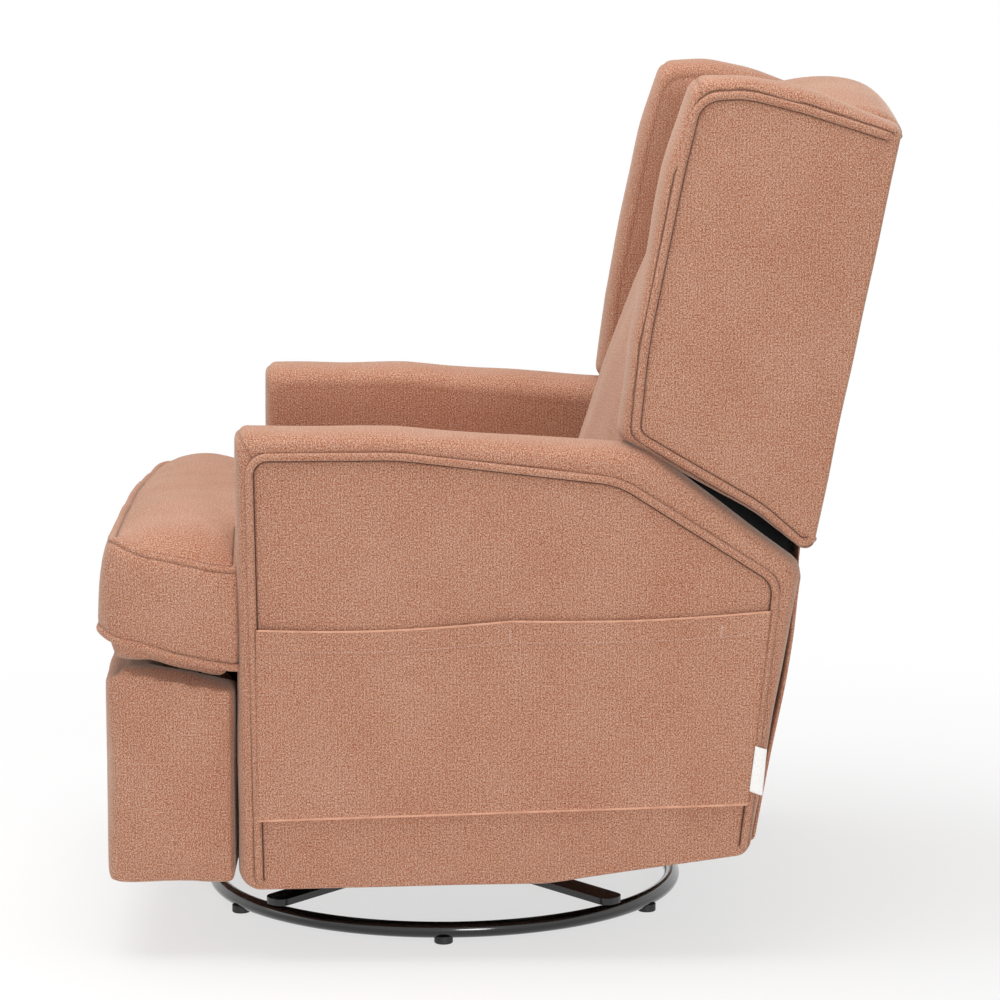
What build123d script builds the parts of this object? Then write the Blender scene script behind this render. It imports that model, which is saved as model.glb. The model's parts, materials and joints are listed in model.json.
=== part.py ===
from build123d import *
import os
from math import hypot, sqrt

# Swivel recliner with an upholstered wing back, padded arms with side pockets, a T-shaped seat
# cushion, a folding legrest and a ring base. Millimetres, +Z up, the chair faces -Y, and the origin
# is on the floor under the middle of the footprint.

# Shared places and clearances
SWIVEL_Y = -60.0            # swivel axis, a little forward of the middle of the footprint
SOFT_GAP = 0.3              # between an upholstered piece and its neighbour
RUNNING = 0.05              # radial clearance of a pin in its hole
LEAN_FOOT = (357.0, 487.0)  # a point (y, z) on the rear line of the back
LEAN_SLOPE = 88.0 / 445.0   # how far the back's rear line leans, y per z
DECK_FRONT = (-290.0, 338.0)
DECK_SLOPE = -0.096         # rake of the seat deck, z per y

# Ring base
RING_RADIUS = 284.0
RING_TUBE = 9.5
FOOT_HEIGHT = 6.0
FOOT_RADIUS = 11.0
FOOT_SADDLE = 3.0
FOOT_CHAMFER = 1.0
FOOT_COUNT = 6
SPOKE_COUNT = 4
SPOKE_WIDTH = 34.0
SPOKE_THICK = 8.0
SPOKE_REACH = 7.0           # the spoke's end past the ring's centre line
SPOKE_ROUND = 13.6
SPOKE_TURN = 45.0           # first spoke from the X axis, in degrees
HUB_RADIUS = 72.0
HUB_BOTTOM = 36.0

# Swivel bearing
BALL_RADIUS = 5.0
BALL_CIRCLE = 52.0
BALL_COUNT = 12
RACE_WIDTH = 26.0
RACE_THICK = 7.0
RACE_GAP = 4.0
KING_RADIUS = 8.0
KING_HEAD = 14.0
KING_HEAD_THICK = 8.0
TURNTABLE_SIZE = (200.0, 250.0)
TURNTABLE_THICK = 6.0
TURNTABLE_CORNER = 20.0
RAIL_SPREAD = 100.0         # each cross rail from the swivel axis
RAIL_WIDTH = 40.0
RAIL_HEIGHT = 28.0
RAIL_WALL = 2.5

# Mechanism: flat layers outwards from the middle plane
PLATE_INNER = 252.0
PLATE_THICK = 3.0
LAYER_FRONT_CONTROL = (247.0, 3.0)
LAYER_LIFT = (242.5, 3.5)
LAYER_REACH = (238.0, 3.5)
LAYER_REAR_CONTROL = (234.0, 3.0)
PIN_RADIUS = 4.0
PIN_HEAD = 7.0
PIN_HEAD_THICK = 1.5
EYE = 11.0
LIFT_PIVOT = (-268.0, 295.0)
LIFT_LENGTH = 191.0
REACH_LENGTH = 202.0
BOARD_PIVOT = (-365.0, 261.0)
REAR_CONTROL_PIVOT = (-239.5, 302.9)
REACH_TAIL = (-212.3, 105.8)
LIFT_TAIL = (-209.2, 114.8)
BRACKET_EAR = (-327.6, 264.3)
REAR_CONTROL_PLAY = 2.4     # clearance round the opened pivot of the rear control link
FRONT_CONTROL_PLAY = 1.0    # clearance round the opened pivot of the front control link
BACK_PIVOT = (217.0, 315.0)
BACK_PIN_RADIUS = 6.0
PLATE_FRONT = -288.0
PLATE_TOP = 320.0
PLATE_BAND = 45.0
PLATE_REAR = 110.0
PLATE_LEG = 44.0
PLATE_LOBE = 20.0
BACK_BRACKET_GAP = 2.0
BACK_BRACKET_THICK = 4.0
BACK_BRACKET_RADII = (0.0, 0.0, 30.0, 6.0, 6.0, 60.0)
BACK_BOLT_HEIGHTS = (520.0, 610.0)

# Seat frame
SIDE_RAIL_FRONT = -269.0
SIDE_RAIL_REAR = 118.0
SIDE_RAIL_HEIGHT = 55.0
FRONT_RAIL = (-294.0, -262.0)
FRONT_RAIL_BOTTOM = 323.5
REAR_RAIL = (86.0, 112.0)
REAR_RAIL_HEIGHT = 30.0
STRAP_WIDTH = 50.0
STRAP_THICK = 2.5
STRAP_COUNT = 5
STRAP_PITCH = 92.0
BOLT_RADIUS = 4.0
BOLT_HEAD = 8.0
BOLT_HEAD_THICK = 4.5
BOLT_PLACES_Y = (-120.0, 80.0)
BOLT_DROP = 22.0            # bolt axis below the plate's top edge

# Arms
ARM_INNER = 276.0
ARM_WIDTH = 110.0
ARM_SKIN = 10.0
ARM_PADDING = 24.0
ARM_EDGE = 18.0
ARM_FRONT = -294.0
ARM_BOTTOM = 90.0
ARM_TOP = 616.0
ARM_CREST_START = (-110.0, 617.0)
ARM_CREST_END = (158.0, 594.0)
ARM_REAR_TOP = (346.0, 466.0)
ARM_REAR_BOTTOM = (288.0, 130.0)
ARM_BELLY = (60.0, 97.0)
ARM_RADII = (28.0, 34.0, 300.0, 60.0, 24.0, 24.0, 200.0)
ARM_FRAME_MEMBER = 34.0
ARM_FRAME_BOARD = 15.0
ARM_BARE_TOP = 338.0        # below this the arm's inner face is the bare frame

# Side pockets
POCKET_TOP = ((-274.0, 394.0), (310.0, 414.0))
POCKET_BOTTOM = ((288.0, 190.0), (-274.0, 168.0))
POCKET_ROOM = 6.2
POCKET_CLOTH = 2.5
POCKET_EDGE = 6.0

# Release handle on the sitter's right
RELEASE_Y = -150.0
RELEASE_Z = 482.0
RELEASE_OPENING = (104.0, 52.0)
RELEASE_FLANGE = 7.0
RELEASE_WALL = 2.5
RELEASE_DEPTH = 30.0
PADDLE_HEIGHT = 26.0
PADDLE_THICK = 7.0
PADDLE_SIDE_GAP = 1.0
PADDLE_PIN_RADIUS = 2.5
PADDLE_PIN_DROP = 8.0       # hinge line below the opening's upper edge
PADDLE_PIN_INSET = 6.0      # hinge line inwards from the arm's outer face
PADDLE_ROUND = 2.8

# Seat cushion: (y, half width, underside, edge of the top, crown of the top)
CUSHION_EARS = (
    (-473.0, 340.0, 412.0, 452.0, 470.0),
    (-455.0, 364.0, 382.0, 481.0, 502.0),
    (-400.0, 373.0, 348.0, 475.0, 513.0),
    (-297.0, 372.0, 325.0, 451.0, 508.0),
)
CUSHION_MAIN_TOP = (
    (-330.0, 473.0, 506.0),
    (-110.0, 462.0, 496.0),
    (82.0, 439.0, 469.0),
)
CUSHION_MAIN_HALF = 270.0
CUSHION_SIDE_BULGE = 5.0

# Back
BACK_MARGIN = 0.5           # between the bracket, the pad, the posts and the wings, across the chair
WING_WIDTH = 104.0
WING_EDGE = 20.0
WING_REAR_TOP = 438.0
WING_REAR_BOTTOM = 342.5
WING_CORNERS = (
    (136.0, 600.0),
    (152.0, 715.0),
    (192.0, 925.0),
    (224.0, 1018.0),
    (275.0, 1018.0),
    (345.0, 1003.0),
    (WING_REAR_TOP, 960.0),
    (WING_REAR_BOTTOM, 477.0),
    (180.0, 586.0),
)
WING_RADII = (30.0, 700.0, 400.0, 24.0, 120.0, 200.0, 24.0, 24.0, 70.0)
WING_BOARD_CORNERS = ((172.0, 632.0), (240.0, 984.0), (424.0, 926.0), (344.0, 520.0))
WING_BOARD_THICK = 16.0
WING_BOARD_INSET = 40.0
POST_WIDTH = 30.0
POST_DEPTH = 35.0
POST_BOTTOM = 430.0
POST_TOP = 908.0
BACK_RAIL_SPANS = ((436.0, 480.0), (655.0, 690.0), (868.0, 906.0))
BACK_STRAP_HEIGHTS = (520.0, 575.0, 630.0, 735.0, 800.0)
BACK_STRAP_HEIGHT = 40.0
OUTSIDE_SKIN = 12.0
OUTSIDE_CROWN = 23.3
OUTSIDE_INSET = 1.0         # the outside back's side edges from the wings' outer faces
OUTSIDE_BOTTOM = 480.0
OUTSIDE_TOP = 956.0
TAIL_HALF = 270.0
TAIL_BOTTOM = 385.0
# Inside back: (z, front at the middle, front at the sides)
PAD_LEVELS = (
    (440.0, 92.0, 118.0),
    (520.0, 94.0, 120.0),
    (620.0, 127.0, 155.0),
    (720.0, 166.0, 193.0),
    (830.0, 211.0, 234.0),
    (914.0, 251.0, 270.0),
)
# Roll over the top of the back: (z, rear, front at the middle, front at the sides)
ROLL_LEVELS = (
    (914.0, 424.0, 251.0, 270.0),
    (945.0, 429.0, 269.0, 286.0),
    (984.0, 449.0, 318.0, 329.0),
    (1001.0, 430.0, 372.0, 378.0),
)

# Rear of the seat box
REAR_PANEL_TOP = 355.0
REAR_PANEL_BOTTOM = 134.0
REAR_PANEL_PROUD = 8.0      # the panel stands behind the arms' rear edges
REAR_PANEL_THICK = 12.0
REAR_PANEL_NOTCH = (26.0, 42.0)
STRETCHER_Z = (140.0, 190.0)
STRETCHER_DEPTH = 24.0

# Legrest
LEGREST_HALF = 366.0
LEGREST_REAR = -296.0
LEGREST_FRONT = -458.0
LEGREST_EDGE_FRONT = -440.0
LEGREST_BOTTOM = 93.0
LEGREST_TOP_FRONT = 350.0
LEGREST_TOP_REAR = 319.0
LEGREST_TOP_RADIUS = 30.0
LEGREST_BOTTOM_RADIUS = 25.0
LEGREST_CORNER = 24.0
LEGREST_CHEEK = 62.0
LEGREST_FLOOR = 20.0
LEGREST_BOARD = 18.0
LEGREST_BOARD_REAR = -380.0
BRACKET_FOOT = 34.0
BRACKET_FOOT_THICK = 3.5
BRACKET_FOOT_Z = (225.0, 297.0)
LEGREST_BOARD_CORNER = 12.0
SCREW_RADIUS = 3.0
SCREW_HEAD = 6.0
SCREW_HEAD_THICK = 3.0
SCREW_GRIP = 14.0           # depth of a screw in the legrest board
SCREW_EDGE = 12.0           # screw axis from the end of the bracket's foot

# Worked out from the values above
RING_Z = FOOT_HEIGHT + RING_TUBE
HUB_TOP = HUB_BOTTOM + SPOKE_THICK
BALL_Z = HUB_TOP + RACE_THICK + RACE_GAP / 2
UPPER_RACE_Z = HUB_TOP + RACE_THICK + RACE_GAP
TURNTABLE_Z = UPPER_RACE_Z + RACE_THICK
RAIL_Z = TURNTABLE_Z + TURNTABLE_THICK
PLATE_OUTER = PLATE_INNER + PLATE_THICK
ARM_OUTER = ARM_INNER + ARM_WIDTH
SIDE_RAIL_INNER = PLATE_OUTER + SOFT_GAP
SIDE_RAIL_OUTER = ARM_INNER + ARM_SKIN
BACK_BRACKET_INNER = PLATE_OUTER + BACK_BRACKET_GAP
BACK_BRACKET_OUTER = BACK_BRACKET_INNER + BACK_BRACKET_THICK
POST_OUTER = BACK_BRACKET_INNER - BACK_MARGIN
PAD_HALF = BACK_BRACKET_OUTER + BACK_MARGIN
WING_INNER = PAD_HALF + BACK_MARGIN
WING_OUTER = WING_INNER + WING_WIDTH
OUTSIDE_HALF = WING_OUTER - OUTSIDE_INSET
HOLE = PIN_RADIUS + RUNNING


def deck_z(y):
    """Height of the seat deck, the top of the seat rails, at a place along the chair."""
    return DECK_FRONT[1] + DECK_SLOPE * (y - DECK_FRONT[0])


def plate_top(y):
    """Height of the side plates' raked top edge."""
    return PLATE_TOP + DECK_SLOPE * (y - PLATE_FRONT)


def back_line(z):
    """Place along Y of the back's leaning rear line at a height."""
    return LEAN_FOOT[0] + LEAN_SLOPE * (z - LEAN_FOOT[1])


def arm_rear_line(z):
    """Place along Y of the straight rear edge of the arms at a height."""
    share = (z - ARM_REAR_BOTTOM[1]) / (ARM_REAR_TOP[1] - ARM_REAR_BOTTOM[1])
    return ARM_REAR_BOTTOM[0] + share * (ARM_REAR_TOP[0] - ARM_REAR_BOTTOM[0])


def knee():
    """The lower crossing of the circles that the lift link and the reach link draw when folded."""
    along_y = BOARD_PIVOT[0] - LIFT_PIVOT[0]
    along_z = BOARD_PIVOT[1] - LIFT_PIVOT[1]
    span = hypot(along_y, along_z)
    part_way = (LIFT_LENGTH**2 - REACH_LENGTH**2 + span**2) / (2 * span)
    aside = sqrt(LIFT_LENGTH**2 - part_way**2)
    unit_y = along_y / span
    unit_z = along_z / span
    middle_y = LIFT_PIVOT[0] + part_way * unit_y
    middle_z = LIFT_PIVOT[1] + part_way * unit_z
    return (middle_y - aside * unit_z, middle_z + aside * unit_y)


KNEE = knee()


def keep(builder, name):
    """Label a finished piece and write it."""
    builder.part.label = name
    export_step(builder.part, f"parts/{name}.step")


def leaning_bar(low, high, front, depth, start, width):
    """A bar that follows the back's lean, set in front of its rear line, extruded across the chair."""
    corners = (
        (back_line(low) - front - depth, low),
        (back_line(low) - front, low),
        (back_line(high) - front, high),
        (back_line(high) - front - depth, high),
    )
    with BuildPart() as bar:
        with BuildSketch(Plane.YZ.offset(start)):
            with BuildLine():
                Polyline(*corners, close=True)
            make_face()
        extrude(amount=width)
    return bar.part


def link_plate(layer, eyes, holes):
    """A flat link: round eyes joined by their common outline, each with its hole."""
    start, thick = layer
    with BuildPart() as link:
        with BuildSketch(Plane.YZ.offset(start)):
            with Locations(*eyes):
                Circle(EYE)
            make_hull()
            for eye, hole in zip(eyes, holes):
                with Locations(eye):
                    Circle(hole, mode=Mode.SUBTRACT)
        extrude(amount=thick)
    return link.part


def cross_pin(place, radius, low, high, head, head_thick, head_outwards):
    """A round pin across the chair from one layer to another, with a head at one end."""
    with BuildPart() as pin:
        with BuildSketch(Plane.YZ.offset(low)):
            with Locations(place):
                Circle(radius)
        extrude(amount=high - low)
        with BuildSketch(Plane.YZ.offset(high if head_outwards else low - head_thick)):
            with Locations(place):
                Circle(head)
        extrude(amount=head_thick)
    return pin.part


def crowned_section(y, half, low, edge, crown, bulge):
    """A cushion's cross-section at one place: flat underside, bulging sides and an arched top."""
    with BuildSketch(Plane.XZ.offset(-y)) as section:
        with BuildLine():
            Line((-half, low), (half, low))
            ThreePointArc((half, low), (half + bulge, (low + edge) / 2), (half, edge))
            ThreePointArc((half, edge), (0, crown), (-half, edge))
            ThreePointArc((-half, edge), (-half - bulge, (low + edge) / 2), (-half, low))
        make_face()
    return section.sketch


def level_section(z, half, rear, middle, side):
    """The inside back's outline at one height: a straight rear and an arched front."""
    with BuildSketch(Plane.XY.offset(z)) as section:
        with BuildLine():
            Line((-half, rear), (half, rear))
            Line((half, rear), (half, side))
            ThreePointArc((half, side), (0, middle), (-half, side))
            Line((-half, side), (-half, rear))
        make_face()
    return section.sketch


def both_sides(part):
    """A piece and its mirror image on the other side of the chair."""
    with BuildPart() as pair:
        add(part)
        mirror(part, about=Plane.YZ)
    return pair


def other_side(part):
    """The mirror image of a piece."""
    with BuildPart() as twin:
        mirror(part, about=Plane.YZ)
    return twin


os.makedirs("parts", exist_ok=True)

# Ring base: bent tube, a spider of four spokes with its hub, and the feet
with BuildPart() as base_ring:
    with Locations((0, SWIVEL_Y, RING_Z)):
        Torus(RING_RADIUS, RING_TUBE)
keep(base_ring, "base_ring")

SPOKE_END = RING_RADIUS + SPOKE_REACH
RING_CREST = RING_Z + RING_TUBE
with BuildPart() as spoke:
    with BuildSketch(Plane.XZ):
        with BuildLine():
            Polyline(
                (KING_HEAD * 2, HUB_BOTTOM),
                (SPOKE_END, RING_CREST),
                (SPOKE_END, RING_CREST + SPOKE_THICK),
                (KING_HEAD * 2, HUB_TOP),
                close=True,
            )
        make_face()
    extrude(amount=SPOKE_WIDTH / 2, both=True)
    fillet(spoke.edges().filter_by(Axis.Z).group_by(Axis.X)[-1], SPOKE_ROUND)

with BuildPart() as base_spider:
    with Locations((0, SWIVEL_Y, 0)):
        with PolarLocations(0, SPOKE_COUNT, start_angle=SPOKE_TURN):
            add(spoke.part)
    with BuildSketch(Plane.XY.offset(HUB_BOTTOM)):
        with Locations((0, SWIVEL_Y)):
            Circle(HUB_RADIUS)
    extrude(amount=SPOKE_THICK)
    with BuildSketch(Plane.XY.offset(HUB_BOTTOM)):
        with Locations((0, SWIVEL_Y)):
            Circle(KING_RADIUS + RUNNING)
    extrude(amount=SPOKE_THICK, mode=Mode.SUBTRACT)
keep(base_spider, "base_spider")

with BuildPart() as floor_feet:
    with BuildSketch(Plane.XY):
        with Locations((0, SWIVEL_Y)):
            with PolarLocations(RING_RADIUS, FOOT_COUNT):
                Circle(FOOT_RADIUS)
    extrude(amount=FOOT_HEIGHT + FOOT_SADDLE)
    chamfer(floor_feet.edges().group_by(Axis.Z)[0], FOOT_CHAMFER)
    with Locations((0, SWIVEL_Y, RING_Z)):
        Torus(RING_RADIUS, RING_TUBE, mode=Mode.SUBTRACT)
keep(floor_feet, "floor_feet")

# Swivel bearing: two grooved races, their balls and the king bolt
with BuildPart() as lower_race:
    with BuildSketch(Plane.XY.offset(HUB_TOP)):
        with Locations((0, SWIVEL_Y)):
            Circle(BALL_CIRCLE + RACE_WIDTH / 2)
            Circle(BALL_CIRCLE - RACE_WIDTH / 2, mode=Mode.SUBTRACT)
    extrude(amount=RACE_THICK)
    with Locations((0, SWIVEL_Y, BALL_Z)):
        Torus(BALL_CIRCLE, BALL_RADIUS + RUNNING, mode=Mode.SUBTRACT)
keep(lower_race, "lower_race")

with BuildPart() as upper_race:
    with BuildSketch(Plane.XY.offset(UPPER_RACE_Z)):
        with Locations((0, SWIVEL_Y)):
            Circle(BALL_CIRCLE + RACE_WIDTH / 2)
            Circle(BALL_CIRCLE - RACE_WIDTH / 2, mode=Mode.SUBTRACT)
    extrude(amount=RACE_THICK)
    with Locations((0, SWIVEL_Y, BALL_Z)):
        Torus(BALL_CIRCLE, BALL_RADIUS + RUNNING, mode=Mode.SUBTRACT)
keep(upper_race, "upper_race")

with BuildPart() as race_balls:
    with Locations((0, SWIVEL_Y, BALL_Z)):
        with PolarLocations(BALL_CIRCLE, BALL_COUNT):
            Sphere(BALL_RADIUS)
keep(race_balls, "race_balls")

with BuildPart() as turntable:
    with BuildSketch(Plane.XY.offset(TURNTABLE_Z)):
        with Locations((0, SWIVEL_Y)):
            RectangleRounded(*TURNTABLE_SIZE, TURNTABLE_CORNER)
            Circle(KING_RADIUS + RUNNING, mode=Mode.SUBTRACT)
    extrude(amount=TURNTABLE_THICK)
keep(turntable, "turntable")

with BuildPart() as king_bolt:
    with BuildSketch(Plane.XY.offset(HUB_BOTTOM - KING_HEAD_THICK - SOFT_GAP)):
        with Locations((0, SWIVEL_Y)):
            RegularPolygon(KING_HEAD, 6)
    extrude(amount=KING_HEAD_THICK)
    with BuildSketch(Plane.XY.offset(HUB_BOTTOM - KING_HEAD_THICK - SOFT_GAP)):
        with Locations((0, SWIVEL_Y)):
            Circle(KING_RADIUS)
    extrude(amount=RAIL_Z + KING_HEAD_THICK + SOFT_GAP - HUB_BOTTOM + KING_HEAD_THICK)
    with BuildSketch(Plane.XY.offset(RAIL_Z)):
        with Locations((0, SWIVEL_Y)):
            RegularPolygon(KING_HEAD, 6)
    extrude(amount=KING_HEAD_THICK)
keep(king_bolt, "king_bolt")

# Cross rails: rectangular tubes that tie the turntable to the side plates
with BuildPart() as cross_rails:
    with BuildSketch(Plane.YZ.offset(-PLATE_INNER)):
        with Locations(
            (SWIVEL_Y - RAIL_SPREAD, RAIL_Z + RAIL_HEIGHT / 2),
            (SWIVEL_Y + RAIL_SPREAD, RAIL_Z + RAIL_HEIGHT / 2),
        ):
            RectangleRounded(RAIL_WIDTH, RAIL_HEIGHT, 2 * RAIL_WALL)
            RectangleRounded(
                RAIL_WIDTH - 2 * RAIL_WALL, RAIL_HEIGHT - 2 * RAIL_WALL, RAIL_WALL, mode=Mode.SUBTRACT
            )
    extrude(amount=2 * PLATE_INNER)
keep(cross_rails, "cross_rails")

# Side plates: one stamped profile with a raked band, two legs and a lobe for the back's pivot
with BuildPart() as side_plate_left:
    with BuildSketch(Plane.YZ.offset(PLATE_INNER)):
        with BuildLine():
            Polyline(
                (PLATE_FRONT, PLATE_TOP),
                (PLATE_REAR, plate_top(PLATE_REAR)),
                (PLATE_REAR, plate_top(PLATE_REAR) - PLATE_BAND),
                (PLATE_FRONT, PLATE_TOP - PLATE_BAND),
                close=True,
            )
        make_face()
        for leg_y in (SWIVEL_Y - RAIL_SPREAD, SWIVEL_Y + RAIL_SPREAD):
            with Locations((leg_y, (RAIL_Z + plate_top(leg_y) - PLATE_BAND / 2) / 2)):
                Rectangle(PLATE_LEG, plate_top(leg_y) - PLATE_BAND / 2 - RAIL_Z)
        with BuildLine():
            Polyline(
                (PLATE_REAR - PLATE_BAND, plate_top(PLATE_REAR - PLATE_BAND)),
                (BACK_PIVOT[0], BACK_PIVOT[1] + PLATE_LOBE),
                (BACK_PIVOT[0], BACK_PIVOT[1] - PLATE_LOBE),
                (PLATE_REAR - PLATE_BAND, plate_top(PLATE_REAR - PLATE_BAND) - PLATE_BAND),
                close=True,
            )
        make_face()
        with Locations(BACK_PIVOT):
            Circle(PLATE_LOBE)
            Circle(BACK_PIN_RADIUS + RUNNING, mode=Mode.SUBTRACT)
        with Locations(LIFT_PIVOT, REAR_CONTROL_PIVOT):
            Circle(HOLE, mode=Mode.SUBTRACT)
        with Locations(*[(y, plate_top(y) - BOLT_DROP) for y in BOLT_PLACES_Y]):
            Circle(BOLT_RADIUS + RUNNING, mode=Mode.SUBTRACT)
    extrude(amount=PLATE_THICK)
keep(side_plate_left, "side_plate_left")
keep(other_side(side_plate_left.part), "side_plate_right")

# Footrest linkage
lift_left = link_plate(LAYER_LIFT, (LIFT_PIVOT, KNEE, LIFT_TAIL), (HOLE, HOLE, HOLE))
keep(both_sides(lift_left), "lift_links")
reach_left = link_plate(LAYER_REACH, (BOARD_PIVOT, KNEE, REACH_TAIL), (HOLE, HOLE, HOLE))
keep(both_sides(reach_left), "reach_links")
rear_control_left = link_plate(
    LAYER_REAR_CONTROL, (REAR_CONTROL_PIVOT, REACH_TAIL), (HOLE, PIN_RADIUS + REAR_CONTROL_PLAY)
)
keep(both_sides(rear_control_left), "rear_control_links")
front_control_left = link_plate(
    LAYER_FRONT_CONTROL, (LIFT_TAIL, BRACKET_EAR), (HOLE, PIN_RADIUS + FRONT_CONTROL_PLAY)
)
keep(both_sides(front_control_left), "front_control_links")

lift_end = LAYER_LIFT[0]
reach_end = LAYER_REACH[0]
with BuildPart() as plate_pins:
    add(cross_pin(LIFT_PIVOT, PIN_RADIUS, lift_end, PLATE_OUTER, PIN_HEAD, PIN_HEAD_THICK, False))
    add(
        cross_pin(
            REAR_CONTROL_PIVOT,
            PIN_RADIUS,
            LAYER_REAR_CONTROL[0],
            PLATE_OUTER,
            PIN_HEAD,
            PIN_HEAD_THICK,
            False,
        )
    )
    mirror(plate_pins.part, about=Plane.YZ)
keep(plate_pins, "plate_pins")

lift_outer = LAYER_LIFT[0] + LAYER_LIFT[1]
control_outer = LAYER_FRONT_CONTROL[0] + LAYER_FRONT_CONTROL[1]
with BuildPart() as lift_pins:
    add(cross_pin(KNEE, PIN_RADIUS, reach_end, lift_outer, PIN_HEAD, PIN_HEAD_THICK, False))
    add(cross_pin(LIFT_TAIL, PIN_RADIUS, lift_end, control_outer, PIN_HEAD, PIN_HEAD_THICK, True))
    mirror(lift_pins.part, about=Plane.YZ)
keep(lift_pins, "lift_pins")

reach_outer = LAYER_REACH[0] + LAYER_REACH[1]
with BuildPart() as reach_pins:
    add(cross_pin(BOARD_PIVOT, PIN_RADIUS, reach_end, lift_outer, PIN_HEAD, PIN_HEAD_THICK, False))
    add(
        cross_pin(
            REACH_TAIL, PIN_RADIUS, LAYER_REAR_CONTROL[0], reach_outer, PIN_HEAD, PIN_HEAD_THICK, False
        )
    )
    mirror(reach_pins.part, about=Plane.YZ)
keep(reach_pins, "reach_pins")

# Legrest: padded front with side cheeks, a board inside it and the brackets that the links carry
HOLLOW_HALF = LEGREST_HALF - LEGREST_CHEEK
BOARD_FRONT = LEGREST_BOARD_REAR - LEGREST_BOARD
with BuildPart() as legrest_pad:
    with BuildSketch(Plane.YZ.offset(-LEGREST_HALF)):
        with BuildLine():
            FilletPolyline(
                (LEGREST_REAR, LEGREST_BOTTOM),
                (LEGREST_FRONT, LEGREST_BOTTOM),
                (LEGREST_FRONT, LEGREST_TOP_FRONT),
                (LEGREST_REAR, LEGREST_TOP_REAR),
                radius=[0, LEGREST_BOTTOM_RADIUS, LEGREST_TOP_RADIUS, 0],
                close=True,
            )
        make_face()
    extrude(amount=2 * LEGREST_HALF)
    with BuildSketch(Plane.XY) as legrest_plan:
        with BuildLine():
            Polyline(
                (LEGREST_HALF, LEGREST_EDGE_FRONT),
                (LEGREST_HALF, LEGREST_REAR),
                (-LEGREST_HALF, LEGREST_REAR),
                (-LEGREST_HALF, LEGREST_EDGE_FRONT),
            )
            ThreePointArc(
                (-LEGREST_HALF, LEGREST_EDGE_FRONT), (0, LEGREST_FRONT), (LEGREST_HALF, LEGREST_EDGE_FRONT)
            )
        make_face()
        fillet(legrest_plan.vertices().group_by(Axis.Y)[0], LEGREST_CORNER)
    extrude(amount=LEGREST_TOP_FRONT, mode=Mode.INTERSECT)
    with BuildSketch(Plane.YZ.offset(-HOLLOW_HALF)):
        with BuildLine():
            Polyline(
                (LEGREST_REAR, LEGREST_BOTTOM + LEGREST_FLOOR),
                (BOARD_FRONT, LEGREST_BOTTOM + LEGREST_FLOOR),
                (BOARD_FRONT, LEGREST_TOP_FRONT),
                (LEGREST_REAR, LEGREST_TOP_FRONT),
                close=True,
            )
        make_face()
    extrude(amount=2 * HOLLOW_HALF, mode=Mode.SUBTRACT)
keep(legrest_pad, "legrest_pad")

SCREW_X = LAYER_LIFT[0] - BRACKET_FOOT / 2
SCREW_HEIGHTS = (BRACKET_FOOT_Z[0] + SCREW_EDGE, BRACKET_FOOT_Z[1] - SCREW_EDGE)
SCREW_PLACES = [(x, z) for x in (-SCREW_X, SCREW_X) for z in SCREW_HEIGHTS]
with BuildPart() as legrest_board:
    with BuildSketch(Plane.XZ.offset(-LEGREST_BOARD_REAR)):
        with Locations((0, (LEGREST_BOTTOM + LEGREST_FLOOR + BRACKET_FOOT_Z[1]) / 2)):
            RectangleRounded(
                2 * (HOLLOW_HALF - SOFT_GAP),
                BRACKET_FOOT_Z[1] - LEGREST_BOTTOM - LEGREST_FLOOR - 2 * SOFT_GAP,
                LEGREST_BOARD_CORNER,
            )
    extrude(amount=LEGREST_BOARD)
    with BuildSketch(Plane.XZ.offset(-LEGREST_BOARD_REAR)):
        with Locations(*SCREW_PLACES):
            Circle(SCREW_RADIUS + RUNNING)
    extrude(amount=SCREW_GRIP + SOFT_GAP, mode=Mode.SUBTRACT)
keep(legrest_board, "legrest_board")

with BuildPart() as legrest_bracket:
    with BuildSketch(Plane.YZ.offset(LAYER_LIFT[0])):
        with Locations(BOARD_PIVOT, BRACKET_EAR):
            Circle(EYE)
        with Locations((LEGREST_BOARD_REAR + EYE / 2, sum(BRACKET_FOOT_Z) / 2)):
            Rectangle(EYE, BRACKET_FOOT_Z[1] - BRACKET_FOOT_Z[0])
        make_hull()
        with Locations(BOARD_PIVOT):
            Circle(HOLE, mode=Mode.SUBTRACT)
        with Locations(BRACKET_EAR):
            Circle(HOLE, mode=Mode.SUBTRACT)
    extrude(amount=LAYER_LIFT[1])
    with BuildSketch(Plane.XZ.offset(-LEGREST_BOARD_REAR)):
        with Locations((SCREW_X, sum(BRACKET_FOOT_Z) / 2)):
            Rectangle(BRACKET_FOOT, BRACKET_FOOT_Z[1] - BRACKET_FOOT_Z[0])
    extrude(amount=-BRACKET_FOOT_THICK)
    with BuildSketch(Plane.XZ.offset(-LEGREST_BOARD_REAR)):
        with Locations(*[(SCREW_X, z) for z in SCREW_HEIGHTS]):
            Circle(SCREW_RADIUS + RUNNING)
    extrude(amount=-BRACKET_FOOT_THICK, mode=Mode.SUBTRACT)
keep(both_sides(legrest_bracket.part), "legrest_brackets")

FOOT_REAR = LEGREST_BOARD_REAR + BRACKET_FOOT_THICK
with BuildPart() as legrest_screws:
    with BuildSketch(Plane.XZ.offset(-FOOT_REAR)):
        with Locations(*SCREW_PLACES):
            Circle(SCREW_RADIUS)
    extrude(amount=BRACKET_FOOT_THICK + SCREW_GRIP)
    with BuildSketch(Plane.XZ.offset(-FOOT_REAR)):
        with Locations(*SCREW_PLACES):
            Circle(SCREW_HEAD)
    extrude(amount=-SCREW_HEAD_THICK)
keep(legrest_screws, "legrest_screws")

with BuildPart() as ear_pins:
    add(cross_pin(BRACKET_EAR, PIN_RADIUS, lift_end, control_outer, PIN_HEAD, PIN_HEAD_THICK, True))
    mirror(ear_pins.part, about=Plane.YZ)
keep(ear_pins, "ear_pins")

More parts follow.
